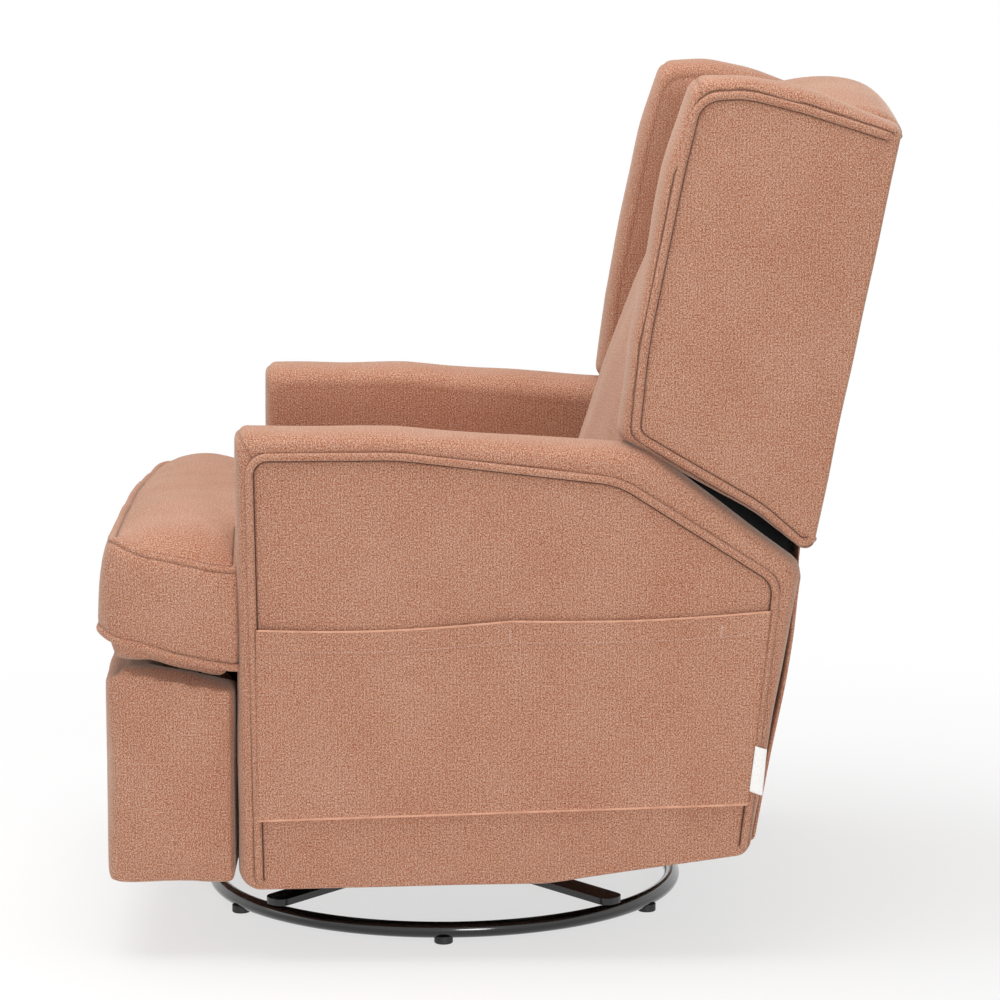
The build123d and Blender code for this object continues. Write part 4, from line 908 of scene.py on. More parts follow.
@dataclass
class Arm(SubAssembly):
    """A padded arm with a welted outer panel."""

    finishes: Finishes
    side: Side
    body: str = "seat"
    crest: tuple = (
        (-0.2958, 0.086), (0.060, 0.093), (0.2925, 0.126), (0.3494, 0.4600), (0.168, 0.598), (-0.110, 0.617),
        (-0.2958, 0.618),
    )
    crest_radii: tuple = (0.022, 0.2, 0.02, 0.022, 0.07, 0.3, 0.014)
    edge: tuple = (
        (-0.270, 0.0925), (0.060, 0.0995), (0.283, 0.133), (0.319, 0.447), (0.140, 0.561), (-0.110, 0.590),
        (-0.2775, 0.589),
    )
    edge_radii: tuple = (0.012, 0.2, 0.012, 0.030, 0.09, 0.3, 0.021)
    recess: tuple = (-0.150, 0.482, 0.1096, 0.0576)
    recess_depth: float = 0.05
    inner_inset: float = 0.003
    welt_proud: float = 0.0016
    strip_heights: tuple[float, float] = (0.132, 0.455)
    strip_half: float = 0.034
    strip_middle: float = 0.3165
    strip_thick: float = 0.0032
    strip_behind: float = 0.0070

    def slab(self) -> BoxedPad:
        """The arm's shape: a narrow pull-in along the bottom, a full border elsewhere."""
        crest, edge = matched_outlines(self.crest, self.crest_radii, self.edge, self.edge_radii)
        return BoxedPad(
            crest, edge, level_at(ARM_OUTER - WELT_TUCK), level_at(ARM_INNER + self.inner_inset),
            crown=0.004, far_crown=0.002, sewn=smooth_step(-0.75, -0.45, outward(edge)[:, 1]),
            fullness=0.55, seed=3 + self.side.value, mitres=((*self.crest[-1], 0.0012),),
        )

    def build(self) -> None:
        """Make the cover and its welt."""
        slab = self.slab()
        name = self.side.name.lower()
        grid, seam = slab.grid()
        cover = grid_object(f"arm_pad_{name}", sided(grid, self.side), seam=seam)
        if self.side is Side.RIGHT:
            self.cut_recess(cover)
        self.dress(cover, (f"arm_cover_{name}",))
        line = slab.welt_line(self.welt_proud)
        run = tucked(open_run(line, outward(slab.edge)[:, 1] > -0.6), 0.005)
        self.welt(f"arm_welt_{name}", sided(run, self.side))
        self.rear_strip()

    def rear_strip(self) -> None:
        """Make the thin padded strip that closes the arm's rear: a flat oval carried up the rear line."""
        round_way = np.linspace(0.0, FULL_TURN, 64, endpoint=False)
        turn, up = np.meshgrid(round_way, np.linspace(0.0, 1.0, 90), indexing="ij")
        low, high = self.strip_heights
        z = low + (high - low) * up
        end = np.clip(np.minimum(up, 1.0 - up) / 0.03, 0.02, 1.0) ** 0.5
        wide = self.strip_half * end * np.sign(np.cos(turn)) * np.abs(np.cos(turn)) ** 0.35
        thick = self.strip_thick * end * np.sign(np.sin(turn)) * np.abs(np.sin(turn)) ** 0.7
        bow = 0.0022 * np.exp(-(((z - 0.325) / 0.06) ** 2)) - 0.0035 * smooth_step(0.37, 0.45, z)
        y = arm_rear_line(z) + self.strip_behind + bow + thick
        grid = np.stack([self.side.value * (self.strip_middle + wide), y, z], axis=-1)
        name = self.side.name.lower()
        strip = grid_object(f"arm_rear_strip_{name}", grid)
        self.dress(strip)

    def cut_recess(self, cover: bpy.types.Object) -> None:
        """Open the outer panel where the release cup is let in."""
        y, z, width, height = self.recess
        bpy.ops.mesh.primitive_cube_add(size=1.0, location=(-ARM_OUTER, y, z))
        cutter = bpy.context.object
        cutter.scale = (self.recess_depth, width, height)
        cut = cover.modifiers.new("recess", "BOOLEAN")
        cut.operation = "DIFFERENCE"
        cut.solver = "EXACT"
        cut.object = cutter
        bpy.context.view_layer.update()
        settle(cover)
        bpy.data.objects.remove(cutter)


@dataclass
class Pocket(SubAssembly):
    """A pocket of cloth on an arm's outer face, sewn on three sides, with a hem along its open top."""

    finishes: Finishes
    side: Side
    body: str = "seat"
    front: tuple = (-0.2710, 0.172, 0.3923)
    rear: tuple = (0.288, 0.3116, 0.190, 0.4130)
    hem: float = 0.026
    height: float = 0.225
    thick: float = 0.0016
    sags: tuple[float, float] = (0.0055, 0.0045)
    tacks: tuple[float, float] = (0.495, 0.907)
    rolled_edge: float = 0.0013

    def place(self, across: Array, up: Array) -> Array:
        """The cloth's surface from shares across and up, in frame coordinates."""
        front_y, front_low, front_high = self.front
        rear_low_y, rear_high_y, rear_low, rear_high = self.rear
        low = front_low + (rear_low - front_low) * across
        high = front_high + (rear_high - front_high) * across
        tack = self.tacks[0]
        front_sag = self.sags[0] * np.sin(math.pi * np.clip(across / tack, 0.0, 1.0))
        rear_sag = self.sags[1] * np.sin(math.pi * np.clip((across - tack) / (1.0 - tack), 0.0, 1.0))
        high = high - np.where(across < tack, front_sag, rear_sag)
        z = low + (high - low) * up
        y = front_y + (rear_low_y + (rear_high_y - rear_low_y) * up - front_y) * across
        spot = np.stack([np.zeros_like(y), y, z], axis=-1)
        open_top = smooth_step(0.35, 1.0, up) * np.sin(math.pi * across) ** 0.4
        lift = 0.0016 + 0.0006 * open_top + 0.0005 * ripple(spot, 21, 0.15) * open_top
        from_top = (high - z) / self.hem
        lift = lift + 0.0009 * smooth_step(1.08, 0.96, from_top)
        lift = lift - 0.0011 * np.exp(-(((from_top - 1.0) / 0.09) ** 2))
        lift = lift + 0.0016 * np.exp(-(((z - low) / 0.003) ** 2))
        return np.stack([self.side.value * (ARM_OUTER + lift), y, z], axis=-1)

    def build(self) -> None:
        """Make the cloth, its rolled edges with a painted highlight, and the stitches under and across its
        hem.
        """
        name = self.side.name.lower()
        fine = 1.0 - np.linspace(0.0, 0.16, 40)
        up = np.concatenate([np.linspace(0.0, 0.03, 10), np.linspace(0.05, 0.82, 44), fine[::-1]])
        across, rise = np.meshgrid(np.linspace(0.0, 1.0, 220), up, indexing="ij")
        cloth = grid_object(f"pocket_cloth_{name}", self.place(across, rise), wrap=False, poles=False)
        thicken(cloth, self.thick, 0.0)
        self.dress(cloth, (f"side_pocket_{name}",))
        for end, share in (("top", 1.0), ("low", 0.0)):
            rim = self.place(np.linspace(0.0, 1.0, 240), np.full(240, share))
            rim = rim + ACROSS * self.side.value * 0.0004
            edge = tube_object(f"pocket_highlight_edge_{end}_{name}", rim, self.rolled_edge, ACROSS)
            # the paler finish is a painted highlight along the rolled edge
            self.dress(edge, slot="painted_highlight_edge")
        middle = np.linspace(0.02, 0.98, 150)
        row = 1.0 - (self.hem - 0.0012) / self.height
        tack = 1.0 - np.linspace(0.012, self.hem - 0.002, 9) / self.height
        across = np.concatenate([middle, *(np.full(9, place) for place in self.tacks)])
        up = np.concatenate([np.full(150, row), tack, tack])
        self.stitches(f"pocket_stitches_{name}", across, up, 0.0024, 0.0006)

    def stitches(self, name: str, across: Array, up: Array, length: float, radius: float) -> None:
        """A row of sewn stitches: a small spindle at each place along the row.

        Args:
            name: The piece's name.
            across: Shares across the pocket.
            up: Shares up the pocket.
            length: Length of one stitch.
            radius: Thickness of the thread.
        """
        centre = self.place(across, up) + ACROSS * self.side.value * 0.0007
        along = np.linspace(-0.5, 0.5, 5)
        turn = np.linspace(0.0, FULL_TURN, 6)
        thin = radius * np.sqrt(np.maximum(1.0 - (2.0 * along) ** 4, 0.05))
        shape = np.stack([
            thin[:, None] * np.cos(turn)[None],
            np.broadcast_to((along * length)[:, None], (5, 6)),
            thin[:, None] * np.sin(turn)[None],
        ], axis=-1)
        points = centre[:, None, None] + shape[None]
        faces = grid_faces(5, 6, False)
        every = (faces[None] + (np.arange(len(across)) * 30)[:, None, None]).reshape(-1, 4)
        row = mesh_object(name, points.reshape(-1, 3), every.tolist())
        self.dress(row, slot="pale_thread")


@dataclass
class SeatCushion(SubAssembly):
    """The T-shaped seat cushion with piping round its upper and lower seams."""

    finishes: Finishes
    body: str = "seat"
    crest: tuple = (
        (0.2735, 0.084), (-0.2735, 0.084), (-0.2735, -0.2915), (-0.374, -0.2915), (-0.377, -0.4515),
        (0.0, -0.4585), (0.377, -0.4515), (0.374, -0.2915), (0.2735, -0.2915),
    )
    crest_radii: tuple = (0.02, 0.02, 0.01, 0.008, 0.048, 1.5, 0.048, 0.008, 0.01)
    edge: tuple = (
        (0.258, 0.070), (-0.258, 0.070), (-0.258, -0.296), (-0.361, -0.2930), (-0.362, -0.4420),
        (0.0, -0.4480), (0.362, -0.4420), (0.361, -0.2930), (0.258, -0.296),
    )
    edge_radii: tuple = (0.02, 0.02, 0.01, 0.008, 0.044, 1.5, 0.044, 0.008, 0.01)
    low_edge: tuple = (
        (0.262, 0.074), (-0.262, 0.074), (-0.262, -0.297), (-0.368, -0.2945), (-0.371, -0.4440),
        (0.0, -0.4510), (0.371, -0.4440), (0.368, -0.2945), (0.262, -0.297),
    )
    top_seam: tuple = (
        (-0.452, 0.487), (-0.434, 0.4835), (-0.420, 0.4790), (-0.400, 0.474), (-0.361, 0.466),
        (-0.324, 0.457), (-0.292, 0.453), (-0.110, 0.446), (0.084, 0.432),
    )
    low_seam: tuple = (
        (-0.452, 0.391), (-0.445, 0.387), (-0.428, 0.379), (-0.400, 0.372), (-0.363, 0.360), (-0.326, 0.351),
        (-0.300, 0.348), (-0.280, 0.345), (0.084, 0.306),
    )
    sag: float = 0.017
    rest_level: float = 0.3515
    dome: float = 0.044
    slumped: float = 0.010
    seam_half: float = 0.362
    seam_front: float = -0.448
    leaning: float = 0.087
    lean_height: float = 0.44

    def top(self, plane: Array) -> Array:
        """Height of the upper seam, from its places along the chair, with the crown over the whole top.

        The crown is the product of two rises, one from the sides and one from the front seam, each one
        minus an exponential of the distance.
        """
        places, heights = np.array(self.top_seam).T
        across = np.abs(plane[..., 0])
        bowed = 0.006 * (across / self.seam_half) ** 2
        from_front = np.maximum(plane[..., 1] - self.seam_front - bowed, 0.0)
        from_side = np.maximum(self.seam_half - across, 0.0)
        rise = (1.0 - np.exp(-from_side / 0.048)) * (1.0 - np.exp(-from_front / 0.038))
        slump = smooth_step(-0.02, -0.33, plane[..., 0]) * np.exp(-from_front / 0.025)
        return np.interp(plane[..., 1], places, heights) + self.dome * rise - self.slumped * slump

    def low(self, plane: Array) -> Array:
        """Height of the lower seam, from its places along the chair."""
        places, heights = np.array(self.low_seam).T
        return np.interp(plane[..., 1], places, heights)

    def hang(self, plane: Array, gap: Array) -> Array:
        """How far the lower panel hangs below its seam: down to the legrest, in front of the deck."""
        seam = self.low(plane)
        ahead = np.where(np.abs(plane[..., 0]) > 0.28, 1.0, smooth_step(-0.300, -0.330, plane[..., 1]))
        return np.maximum(seam - self.rest_level, self.sag) * ahead * smooth_step(0.003, 0.020, gap)

    def lean(self, points: Array) -> Array:
        """Lean the cushion's front back by a share of the height over its middle."""
        leaning = points.copy()
        weight = smooth_step(-0.33, -0.43, points[..., 1])
        leaning[..., 1] += self.leaning * weight * (points[..., 2] - self.lean_height)
        return leaning

    def build(self) -> None:
        """Make the pad and its welts."""
        crest, edge = matched_outlines(self.crest, self.crest_radii, self.edge, self.edge_radii)
        slab = BoxedPad(
            crest, edge, self.top, self.low, 0.006, 0.0, middle=(0.0, -0.36), fullness=0.6, far_fullness=0.6,
            far_edge=matched_outlines(self.crest, self.crest_radii, self.low_edge, self.edge_radii)[1],
            far_sewn=True, far_sag=self.hang, seed=81, unevenness=0.002, pucker=0.0012, seam_shade_strengths=(0.7, 0.6),
        )
        grid, seam = slab.grid()
        pad = grid_object("seat_pad", self.lean(grid), seam=seam)
        self.dress(pad, ("seat_cushion",))
        for name, line in (("top", slab.welt_line(0.001)), ("low", slab.far_welt_line(0.001, 0.003))):
            wave = ripple(line, 91, 0.09) * 0.0012
            self.welt(f"seat_welt_{name}", self.lean(line + wave[:, None] * UP), UP, closed=True)


@dataclass
class Legrest(SubAssembly):
    """The padded legrest."""

    finishes: Finishes
    body: str = "legrest"
    voxel: float = 0.006
    cap: float = 0.004
    rounds: tuple = ((0.026, 1.0), (0.036, -1.0))
    lift: float = 0.001
    pressure: float = 3.0
    rear: float = -0.2972
    hollow: tuple[float, float, float] = (0.31, -0.399, 0.11)

    def build(self) -> None:
        """Make the pad."""
        pad = soft_copy("legrest_cover", "legrest_pad", self.voxel)
        inflate(pad, self.pressure, self.cap, self.keep_room)
        self.dress(pad, ("legrest_pad",))

    def keep_room(self, points: Array, rest: Array) -> Array:
        """Keep the pad clear of the arms behind it and of the cushion over it."""
        kept = points.copy()
        kept[:, 2] += self.lift * smooth_step(0.26, 0.31, rest[:, 2])
        front = kept[:, 1].min()
        for radius, way in self.rounds:
            level = kept[:, 2].min() if way > 0 else kept[kept[:, 1] < front + 0.02, 2].max()
            centre = np.array((front + radius, level + way * radius))
            arm = kept[:, 1:] - centre
            reach = np.linalg.norm(arm, axis=1)
            corner = (arm[:, 0] < 0.0) & (arm[:, 1] * way < 0.0) & (reach > radius)
            kept[corner, 1:] = centre + arm[corner] * (radius / reach[corner])[:, None]
        kept[:, 1] = np.minimum(kept[:, 1], self.rear)
        half, behind, above = self.hollow
        inside = (np.abs(rest[:, 0]) < half) & (rest[:, 1] > behind) & (rest[:, 2] > above)
        kept[inside] = rest[inside]
        return kept


@dataclass
class Wing(SubAssembly):
    """A padded wing of the back with a welt round its outer panel."""

    finishes: Finishes
    side: Side
    body: str = "back"
    outer: float = 0.366
    inner: float = 0.262
    crest: tuple = (
        (0.1385, 0.606), (0.190, 0.578), (0.296, 0.5190), (0.3612, 0.4680), (0.459, 0.957), (0.345, 1.003),
        (0.280, 1.0155), (0.2225, 1.0130), (0.192, 0.925), (0.152, 0.715),
    )
    crest_radii: tuple = (0.016, 0.06, 0.2, 0.012, 0.014, 0.2, 0.12, 0.024, 0.4, 0.7)
    edge: tuple = (
        (0.1580, 0.6115), (0.200, 0.5865), (0.300, 0.5285), (0.3565, 0.4790), (0.4465, 0.9445),
        (0.345, 0.977), (0.280, 0.9935), (0.2265, 0.990), (0.2065, 0.905), (0.1685, 0.715),
    )
    edge_radii: tuple = (0.020, 0.05, 0.2, 0.010, 0.012, 0.2, 0.12, 0.032, 0.4, 0.7)

    def slab(self) -> BoxedPad:
        """The wing's shape: the rear edge turns over without a welt."""
        crest, edge = matched_outlines(self.crest, self.crest_radii, self.edge, self.edge_radii)
        return BoxedPad(
            crest, edge, level_at(self.outer - WELT_TUCK), level_at(self.inner + 0.010), 0.006, 0.008,
            sewn=smooth_step(0.9, 0.7, outward(edge)[:, 0]), seam_shade_strengths=(0.75, 0.9), reach=(0.0051, 0.0064),
            fullness=0.55, seed=31 + self.side.value, mitres=((*self.crest[7], 0.0012),),
        )

    def build(self) -> None:
        """Make the cover and its welt."""
        slab = self.slab()
        name = self.side.name.lower()
        grid, seam = slab.grid()
        cover = grid_object(f"wing_pad_{name}", sided(grid, self.side), seam=seam)
        self.dress(cover, (f"wing_{name}",))
        run = tucked(open_run(slab.welt_line(0.0006), outward(slab.edge)[:, 0] < 0.75), 0.006)
        self.welt(f"wing_welt_{name}", sided(run, self.side))


@dataclass
class InsideBack(SubAssembly):
    """The padded inside back with its roll over the top: one outline carried across the chair.

    The outline in the plane (y, z) runs up the front, over the roll and down the rear. Across the chair it
    is drawn in towards the sides: the front and the top of the roll by a power of the place across, and all
    of it by a quarter round at each end.
    """

    finishes: Finishes
    body: str = "back"
    outline: tuple = (
        (0.098, 0.440), (0.092, 0.470), (0.096, 0.520), (0.127, 0.620), (0.166, 0.720), (0.211, 0.830),
        (0.249, 0.910), (0.272, 0.948), (0.312, 0.982), (0.360, 0.998), (0.405, 1.003), (0.440, 0.999),
        (0.460, 0.987), (0.470, 0.968), (0.468, 0.950), (0.452, 0.934), (0.424, 0.918), (0.398, 0.912),
        (0.3865, 0.900), (0.345, 0.690), (0.298, 0.452), (0.285, 0.441), (0.200, 0.438),
    )
    half: float = 0.2612
    low_half: float = 0.2562
    narrow_below: float = 0.668
    round_end: float = 0.022
    hollow: float = 0.030
    # size and place of the black cloth of painted shade under each wing
    shade_cloth_heights: tuple[float, float] = (0.446, 0.640)
    shade_cloth_place: float = 0.2650
    shade_cloth_thick: float = 0.001

    def build(self) -> None:
        """Make the pad."""
        loop = resample(smooth_loop(np.array(self.outline), 3), 300, True)
        normal = outward(loop)
        front = smooth_step(0.25, 0.8, -normal[:, 0]) * smooth_step(0.45, 0.56, loop[:, 1])
        front = front * smooth_step(0.990, 0.925, loop[:, 1])
        share = np.sin(np.linspace(-0.5, 0.5, 72) * math.pi)
        half = np.where(loop[:, 1] < self.narrow_below, self.low_half, self.half)
        x = half[:, None] * share[None]
        end = np.maximum(np.abs(x) - (half[:, None] - self.round_end), 0.0) / self.round_end
        inward = self.round_end * (1.0 - np.sqrt(np.maximum(1.0 - end**2, 0.0)))
        fall = self.hollow * np.abs(share[None]) ** 2.2
        inward = inward + fall * front[:, None]
        flat = loop[:, None] - normal[:, None] * inward[..., None]
        flat[..., 1] -= fall * smooth_step(0.905, 0.995, loop[:, 1])[:, None]
        spot = np.dstack([x, flat])
        soft = ripple(spot, 41, 0.16) * 0.002 * (1.0 - share[None] ** 4)
        flat = flat + normal[:, None] * (soft * front[:, None])[..., None]
        pad = grid_object("inside_back_pad", np.dstack([x, flat]))
        self.dress(pad, ("back_pad",))
        for side in Side:
            self.side_shade_cloth(side)

    def side_shade_cloth(self, side: Side) -> None:
        """Make the black cloth that closes the back's side under a wing: its black is painted shade for the
        deep gap there.
        """
        along, up = shares(20, 24)
        low, high = self.shade_cloth_heights
        z = low + (high - low) * up
        front = 0.168 + 0.05 * up
        y = front + (back_line(z) - 0.008 - front) * along
        grid = np.stack([np.full_like(y, side.value * self.shade_cloth_place), y, z], axis=-1)
        cloth = grid_object(f"back_side_shade_cloth_{side.name.lower()}", grid, wrap=False, poles=False)
        thicken(cloth, self.shade_cloth_thick)
        # painted shade: the black webbing finish stands for the deep shade in the gap beside the back
        self.dress(cloth, slot="black_webbing")


def smooth_loop(corners: Array, rounds: int) -> Array:
    """A closed outline with its corners cut off again and again, a quarter of each side at a time."""
    line = corners
    for _ in range(rounds):
        ahead = np.roll(line, -1, axis=0)
        pairs = np.stack([0.75 * line + 0.25 * ahead, 0.25 * line + 0.75 * ahead], axis=1)
        line = pairs.reshape(-1, line.shape[1])
    area = (line[:, 0] * np.roll(line[:, 1], -1) - np.roll(line[:, 0], -1) * line[:, 1]).sum()
    return line if area > 0 else line[::-1]


@dataclass
class OutsideBack(SubAssembly):
    """The crowned outside back with piping along its top and bottom, and the cloth flap below it."""

    finishes: Finishes
    body: str = "back"
    half: float = 0.352
    low: float = 0.482
    high: float = 0.951
    inset: float = 0.004
    corner: float = 0.02
    arch: float = 0.022
    welt_half: float = 0.336
    welt_inset: float = 0.005
    flap_half: float = 0.300
    flap_heights: tuple[float, float] = (0.300, 0.490)
    flap_thick: float = 0.0016
    flap_behind: float = 0.0130

    def leaning(self, grid: Array) -> Array:
        """Slab coordinates (u, v, w) turned to the frame: u along X, v up and w behind the back's line."""
        return np.stack([grid[..., 0], back_line(grid[..., 1]) + grid[..., 2], grid[..., 1]], axis=-1)

    def arched(self, plane: Array) -> Array:
        """The rear panel's arch across the chair: highest in the middle, nothing at the sides."""
        return self.arch * (1.0 - (plane[..., 0] / self.half) ** 2)

    def build(self) -> None:
        """Make the panel, its piping and the flap."""
        outer, sewn = rectangle_outlines(
            self.half, self.low, self.high, self.inset, self.corner, self.corner - self.inset
        )
        slab = BoxedPad(outer, sewn, self.arched, level_at(-0.012), 0.004, 0.0, dip=0.0015, seed=51)
        grid, seam = slab.grid()
        panel = grid_object("outside_back_panel", self.leaning(grid), seam=seam)
        self.dress(panel, ("outside_back",))
        across = np.linspace(-self.welt_half, self.welt_half, 240)
        proud = np.maximum(self.arched(across[:, None]), 0.0065)
        for name, height in (("top", self.high - self.welt_inset), ("bottom", self.low + self.welt_inset)):
            line = np.stack([across, np.full(240, height), proud], axis=-1)
            self.welt(f"back_welt_{name}", self.leaning(line), np.array((0.0, 0.2, 1.0)))
        self.flap()

    def flap(self) -> None:
        """Make the cloth that closes the gap between the outside back and the rear of the seat box."""
        share, up = shares(110, 60)
        across = self.flap_half * (2.0 * share - 1.0)
        low, high = self.flap_heights
        z = low + (high - low) * up
        low_y = arm_rear_line(z) + self.flap_behind
        high_y = back_line(z) - 0.003
        y = low_y + (high_y - low_y) * smooth_step(0.5, 0.97, up)
        spot = np.stack([across, y, z], axis=-1)
        y = y + 0.0008 * ripple(spot, 61, 0.11) * np.sin(math.pi * up)
        cloth = grid_object("rear_flap", np.stack([across, y, z], axis=-1), wrap=False, poles=False)
        thicken(cloth, self.flap_thick, 0.0)
        self.dress(cloth, ride=False)
        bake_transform(cloth)


@dataclass
class RearPanel(SubAssembly):
    """The upholstered panel at the rear of the seat box."""

    finishes: Finishes
    body: str = "seat"
    half: float = 0.2800
    low: float = 0.134
    high: float = 0.355
    inset: float = 0.003
    corners: tuple[float, float] = (0.014, 0.012)
    thick: float = 0.0118
    behind: float = 0.008

    def build(self) -> None:
        """Make the panel."""
        outer, sewn = rectangle_outlines(self.half, self.low, self.high, self.inset, *self.corners)
        slab = BoxedPad(outer, sewn, level_at(0.0), level_at(-self.thick), 0.002, 0.0, dip=0.001, seed=71)
        grid, seam = slab.grid()
        y = arm_rear_line(grid[..., 1]) + self.behind + grid[..., 2]
        turned = np.stack([grid[..., 0], y, grid[..., 1]], axis=-1)
        panel = grid_object("rear_box_panel", turned, seam=seam)
        self.dress(panel, ("rear_panel",))


@dataclass
class RingBase(SubAssembly):
    """The black ring that the chair stands on."""

    finishes: Finishes
    body: str = "base"
    radius: float = 0.284
    tube: float = 0.0095
    height: float = 0.0155

    def build(self) -> None:
        """Make the ring as one smooth bent tube."""
        turn = np.linspace(0.0, FULL_TURN, 240, endpoint=False)
        x = self.radius * np.cos(turn)
        y = SWIVEL_Y + self.radius * np.sin(turn)
        path = np.stack([x, y, np.full(240, self.height)], axis=-1)
        grid = tube_grid(path, self.tube, UP, closed=True, sides=28)
        ring = grid_object("ring_tube", grid, wrap=True, poles=False)
        self.dress(ring, ("base_ring",), slot="black_metal")


@dataclass
class BlankTab(SubAssembly):
    """A small white tape folded into the rear seam of the left arm, with nothing on it."""

    finishes: Finishes
    body: str = "seat"
    low: tuple = ((0.2889, 0.2058), (0.3038, 0.2003))
    high: tuple = ((0.2951, 0.2582), (0.3086, 0.2540))
    proud: float = 0.0034
    thick: float = 0.0007

    def build(self) -> None:
        """Make the tape as a thin bowed sheet."""
        across, up = shares(14, 30)
        ends = [
            np.array(start) + (np.array(end) - np.array(start)) * across[..., None]
            for start, end in (self.low, self.high)
        ]
        y, z = np.moveaxis(ends[0] + (ends[1] - ends[0]) * up[..., None], -1, 0)
        bow = 0.0012 * np.sin(math.pi * across) + 0.0008 * np.sin(2.4 * up + across)
        x = ARM_OUTER + self.proud + bow
        tape = grid_object("blank_tab", np.stack([x, y, z], axis=-1), wrap=False, poles=False)
        thicken(tape, self.thick)
        weave_map(tape)
        tape.data.materials.append(self.finishes.tape)
        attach(tape, self.body)
        LOG.info("blank_tab made")


def soft_copy(name: str, node: str, voxel: float) -> bpy.types.Object:
    """A copy of a CAD soft solid with an even skin of small faces, ready to be blown up.

    Args:
        name: The new piece's name.
        node: The CAD node to copy.
        voxel: Size of the even faces.

    Returns:
        The new object.
    """
    shape = bmesh.new()
    shape.from_mesh(frame["nodes"][node].data)
    bmesh.ops.remove_doubles(shape, verts=shape.verts, dist=1e-5)
    mesh = bpy.data.meshes.new(name)
    shape.to_mesh(mesh)
    shape.free()
    piece = bpy.data.objects.new(name, mesh)
    bpy.context.scene.collection.objects.link(piece)
    even = piece.modifiers.new("even", "REMESH")
    even.mode = "VOXEL"
    even.voxel_size = voxel
    settle(piece)
    piece.data.name = name
    piece.data.shade_smooth()
    return piece


def settle(piece: bpy.types.Object) -> None:
    """Apply a piece's modifiers to its mesh."""
    graph = bpy.context.evaluated_depsgraph_get()
    settled = bpy.data.meshes.new_from_object(piece.evaluated_get(graph))
    piece.modifiers.clear()
    piece.data = settled


def coordinates(mesh: bpy.types.Mesh) -> Array:
    """A mesh's points, of shape (n, 3)."""
    flat = np.empty(len(mesh.vertices) * 3)
    mesh.vertices.foreach_get("co", flat)
    return flat.reshape(-1, 3)


def inflate(
    piece: bpy.types.Object, pressure: float, cap: float, limit: Callable[[Array, Array], Array]
) -> None:
    """Blow a pad up as cloth, hold each point near where it began, and smooth it once.

    Args:
        piece: The pad, with an even skin.
        pressure: Air pressure inside the cloth.
        cap: Furthest that a point may move, in metres.
        limit: Takes the swollen and the first places and returns the kept ones.
    """
    rest = coordinates(piece.data)
    swollen = rest
    cloth = piece.modifiers.new("swell", "CLOTH")
    cloth.settings.quality = 5
    cloth.settings.mass = 0.3
    cloth.settings.tension_stiffness = 12.0
    cloth.settings.compression_stiffness = 12.0
    cloth.settings.bending_stiffness = 0.6
    cloth.settings.use_pressure = True
    cloth.settings.uniform_pressure_force = pressure
    cloth.settings.effector_weights.gravity = 0.0
    cloth.point_cache.frame_start = 1
    cloth.point_cache.frame_end = 20
    scene = bpy.context.scene
    for step in range(1, 21):
        scene.frame_set(step)
    graph = bpy.context.evaluated_depsgraph_get()
    swollen = coordinates(piece.evaluated_get(graph).data).copy()
    piece.modifiers.clear()
    scene.frame_set(1)
    move = swollen - rest
    length = np.linalg.norm(move, axis=1, keepdims=True)
    kept = limit(rest + move * np.minimum(1.0, cap / np.maximum(length, 1e-9)), rest)
    piece.data.vertices.foreach_set("co", kept.astype(np.float32).ravel())
    piece.data.update()
    smooth = piece.modifiers.new("smooth", "SUBSURF")
    smooth.levels = 1
    smooth.render_levels = 1


@dataclass
class HiddenFrame:
    """The CAD nodes that stay: their finishes by the record's slots."""

    finishes: Finishes

    def dress(self) -> None:
        """Give each CAD node the finish of its slot."""
        slots = {row["node"]: row["material_slot"] for row in frame["record"]["subparts"]}
        for node, piece in frame["nodes"].items():
            finish = self.finishes.by_slot[slots[node]]
            if not piece.material_slots:
                piece.data.materials.append(finish)
            for place in piece.material_slots:
                place.material = finish
        LOG.info("%d nodes dressed", len(frame["nodes"]))


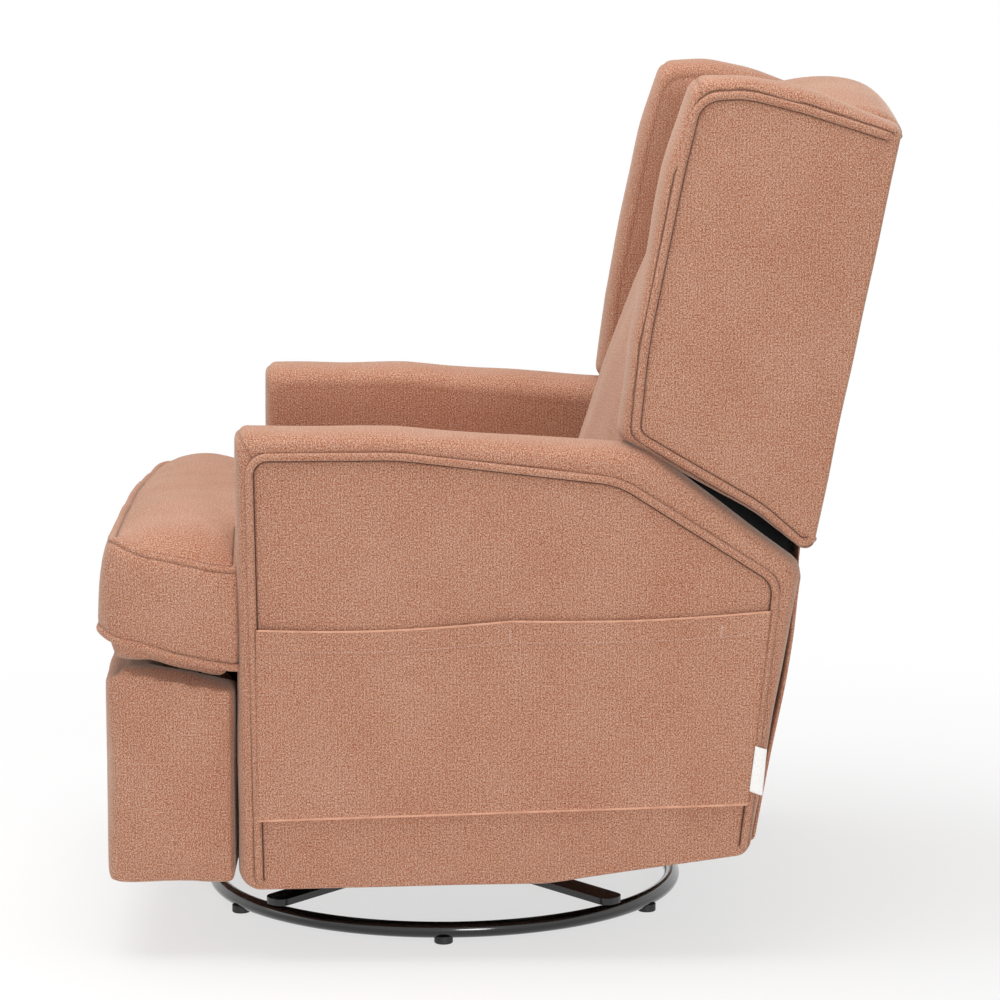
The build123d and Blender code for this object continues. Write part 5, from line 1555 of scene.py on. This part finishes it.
@dataclass
class Studio:
    """Pale floor and sky, soft lamps and the camera."""

    camera_place: tuple = (4.375, -0.0404, 1.137)
    lens: float = 129.1
    pitch: float = 8.5
    yaw: float = 0.6536
    sensor: float = 36.0
    floor_half: float = 9.0
    shadow_kept: float = 0.66
    sky_light: float = 0.42
    lamps: tuple = (
        ("over", (0.3, -0.5, 3.3), (0.0, 0.0, 0.4), 3.2, 92.0),
        ("near", (5.2, 1.2, 0.9), (0.0, 0.1, 0.7), 1.5, 88.0),
        ("front", (0.8, -3.6, 1.8), (0.0, 0.0, 0.5), 2.6, 16.0),
    )

    def build(self) -> None:
        """Set the stage."""
        self.floor()
        self.light()
        self.shoot()

    def floor(self) -> None:
        """A wide floor, white to the camera apart from the chair's shadow, under a sky of the same white."""
        along, up = shares(12, 12)
        x = self.floor_half * (1.0 - 2.0 * along)
        y = self.floor_half * (2.0 * up - 1.0)
        grid = np.stack([x, y, np.zeros_like(x)], axis=-1)
        floor = grid_object("studio_floor", grid, wrap=False, poles=False)
        shader = Shader("studio_white")
        away = shader.value("ShaderNodeVectorMath", {"operation": "LENGTH"}, {0: shader.place()}, "Value")
        clean = shader.value("ShaderNodeMapRange", {}, {
            "Value": away, "From Min": 0.75, "From Max": 1.6, "To Min": self.shadow_kept, "To Max": 1.0
        })
        shader.dress(Base_Color=(0.9, 0.9, 0.9), Roughness=1.0, Specular_IOR_Level=0.0)
        plain = Sock(shader, shader.surface.outputs[0])
        glow = shader.value("ShaderNodeEmission", {}, {"Color": WHITE, "Strength": 1.0})
        shader.show(shader.looked_at() * clean, plain, glow)
        floor.data.materials.append(shader.material)

    def light(self) -> None:
        """Soft lamps and an even sky that looks white."""
        for name, place, aim, size, power in self.lamps:
            lamp = bpy.data.lights.new(name, "AREA")
            lamp.shape = "DISK"
            lamp.size = size
            lamp.energy = power
            holder = bpy.data.objects.new(name, lamp)
            bpy.context.scene.collection.objects.link(holder)
            holder.location = place
            way = np.array(aim) - np.array(place)
            tilt = math.atan2(math.hypot(way[0], way[1]), -way[2])
            holder.rotation_euler = (tilt, 0.0, math.atan2(way[1], way[0]) - math.pi / 2)
        sky = bpy.data.worlds.new("even_sky")
        sky.use_nodes = True
        tree = NodeTree(sky.node_tree)
        tree.tree.nodes.remove(tree.tree.nodes["Background"])
        soft, white = (
            tree.value("ShaderNodeBackground", {}, {"Color": WHITE, "Strength": strength})
            for strength in (self.sky_light, 1.0)
        )
        tree.show(tree.looked_at(), soft, white)
        bpy.context.scene.world = sky
        bpy.context.scene.view_settings.view_transform = "Standard"

    def shoot(self) -> None:
        """Place the camera where the photograph was taken from."""
        lens = bpy.data.cameras.new("camera")
        lens.lens = self.lens
        lens.sensor_width = self.sensor
        eye = bpy.data.objects.new("camera", lens)
        bpy.context.scene.collection.objects.link(eye)
        eye.location = self.camera_place
        eye.rotation_euler = (math.radians(90.0 - self.pitch), 0.0, math.radians(90.0 - self.yaw))
        bpy.context.scene.camera = eye


def main() -> None:
    """Build the chair's visible pieces in order, then the stage."""
    logging.basicConfig(level=logging.INFO, format="%(message)s")
    finishes = Finishes()
    HiddenFrame(finishes).dress()
    assemblies: list[Any] = [RingBase(finishes)]
    for side in Side:
        assemblies += [Arm(finishes, side), Pocket(finishes, side), Wing(finishes, side)]
    assemblies += [
        SeatCushion(finishes), Legrest(finishes), InsideBack(finishes), OutsideBack(finishes),
        RearPanel(finishes), BlankTab(finishes),
    ]
    for assembly in assemblies:
        assembly.build()
    Studio().build()


if __name__ == "__main__":
    main()
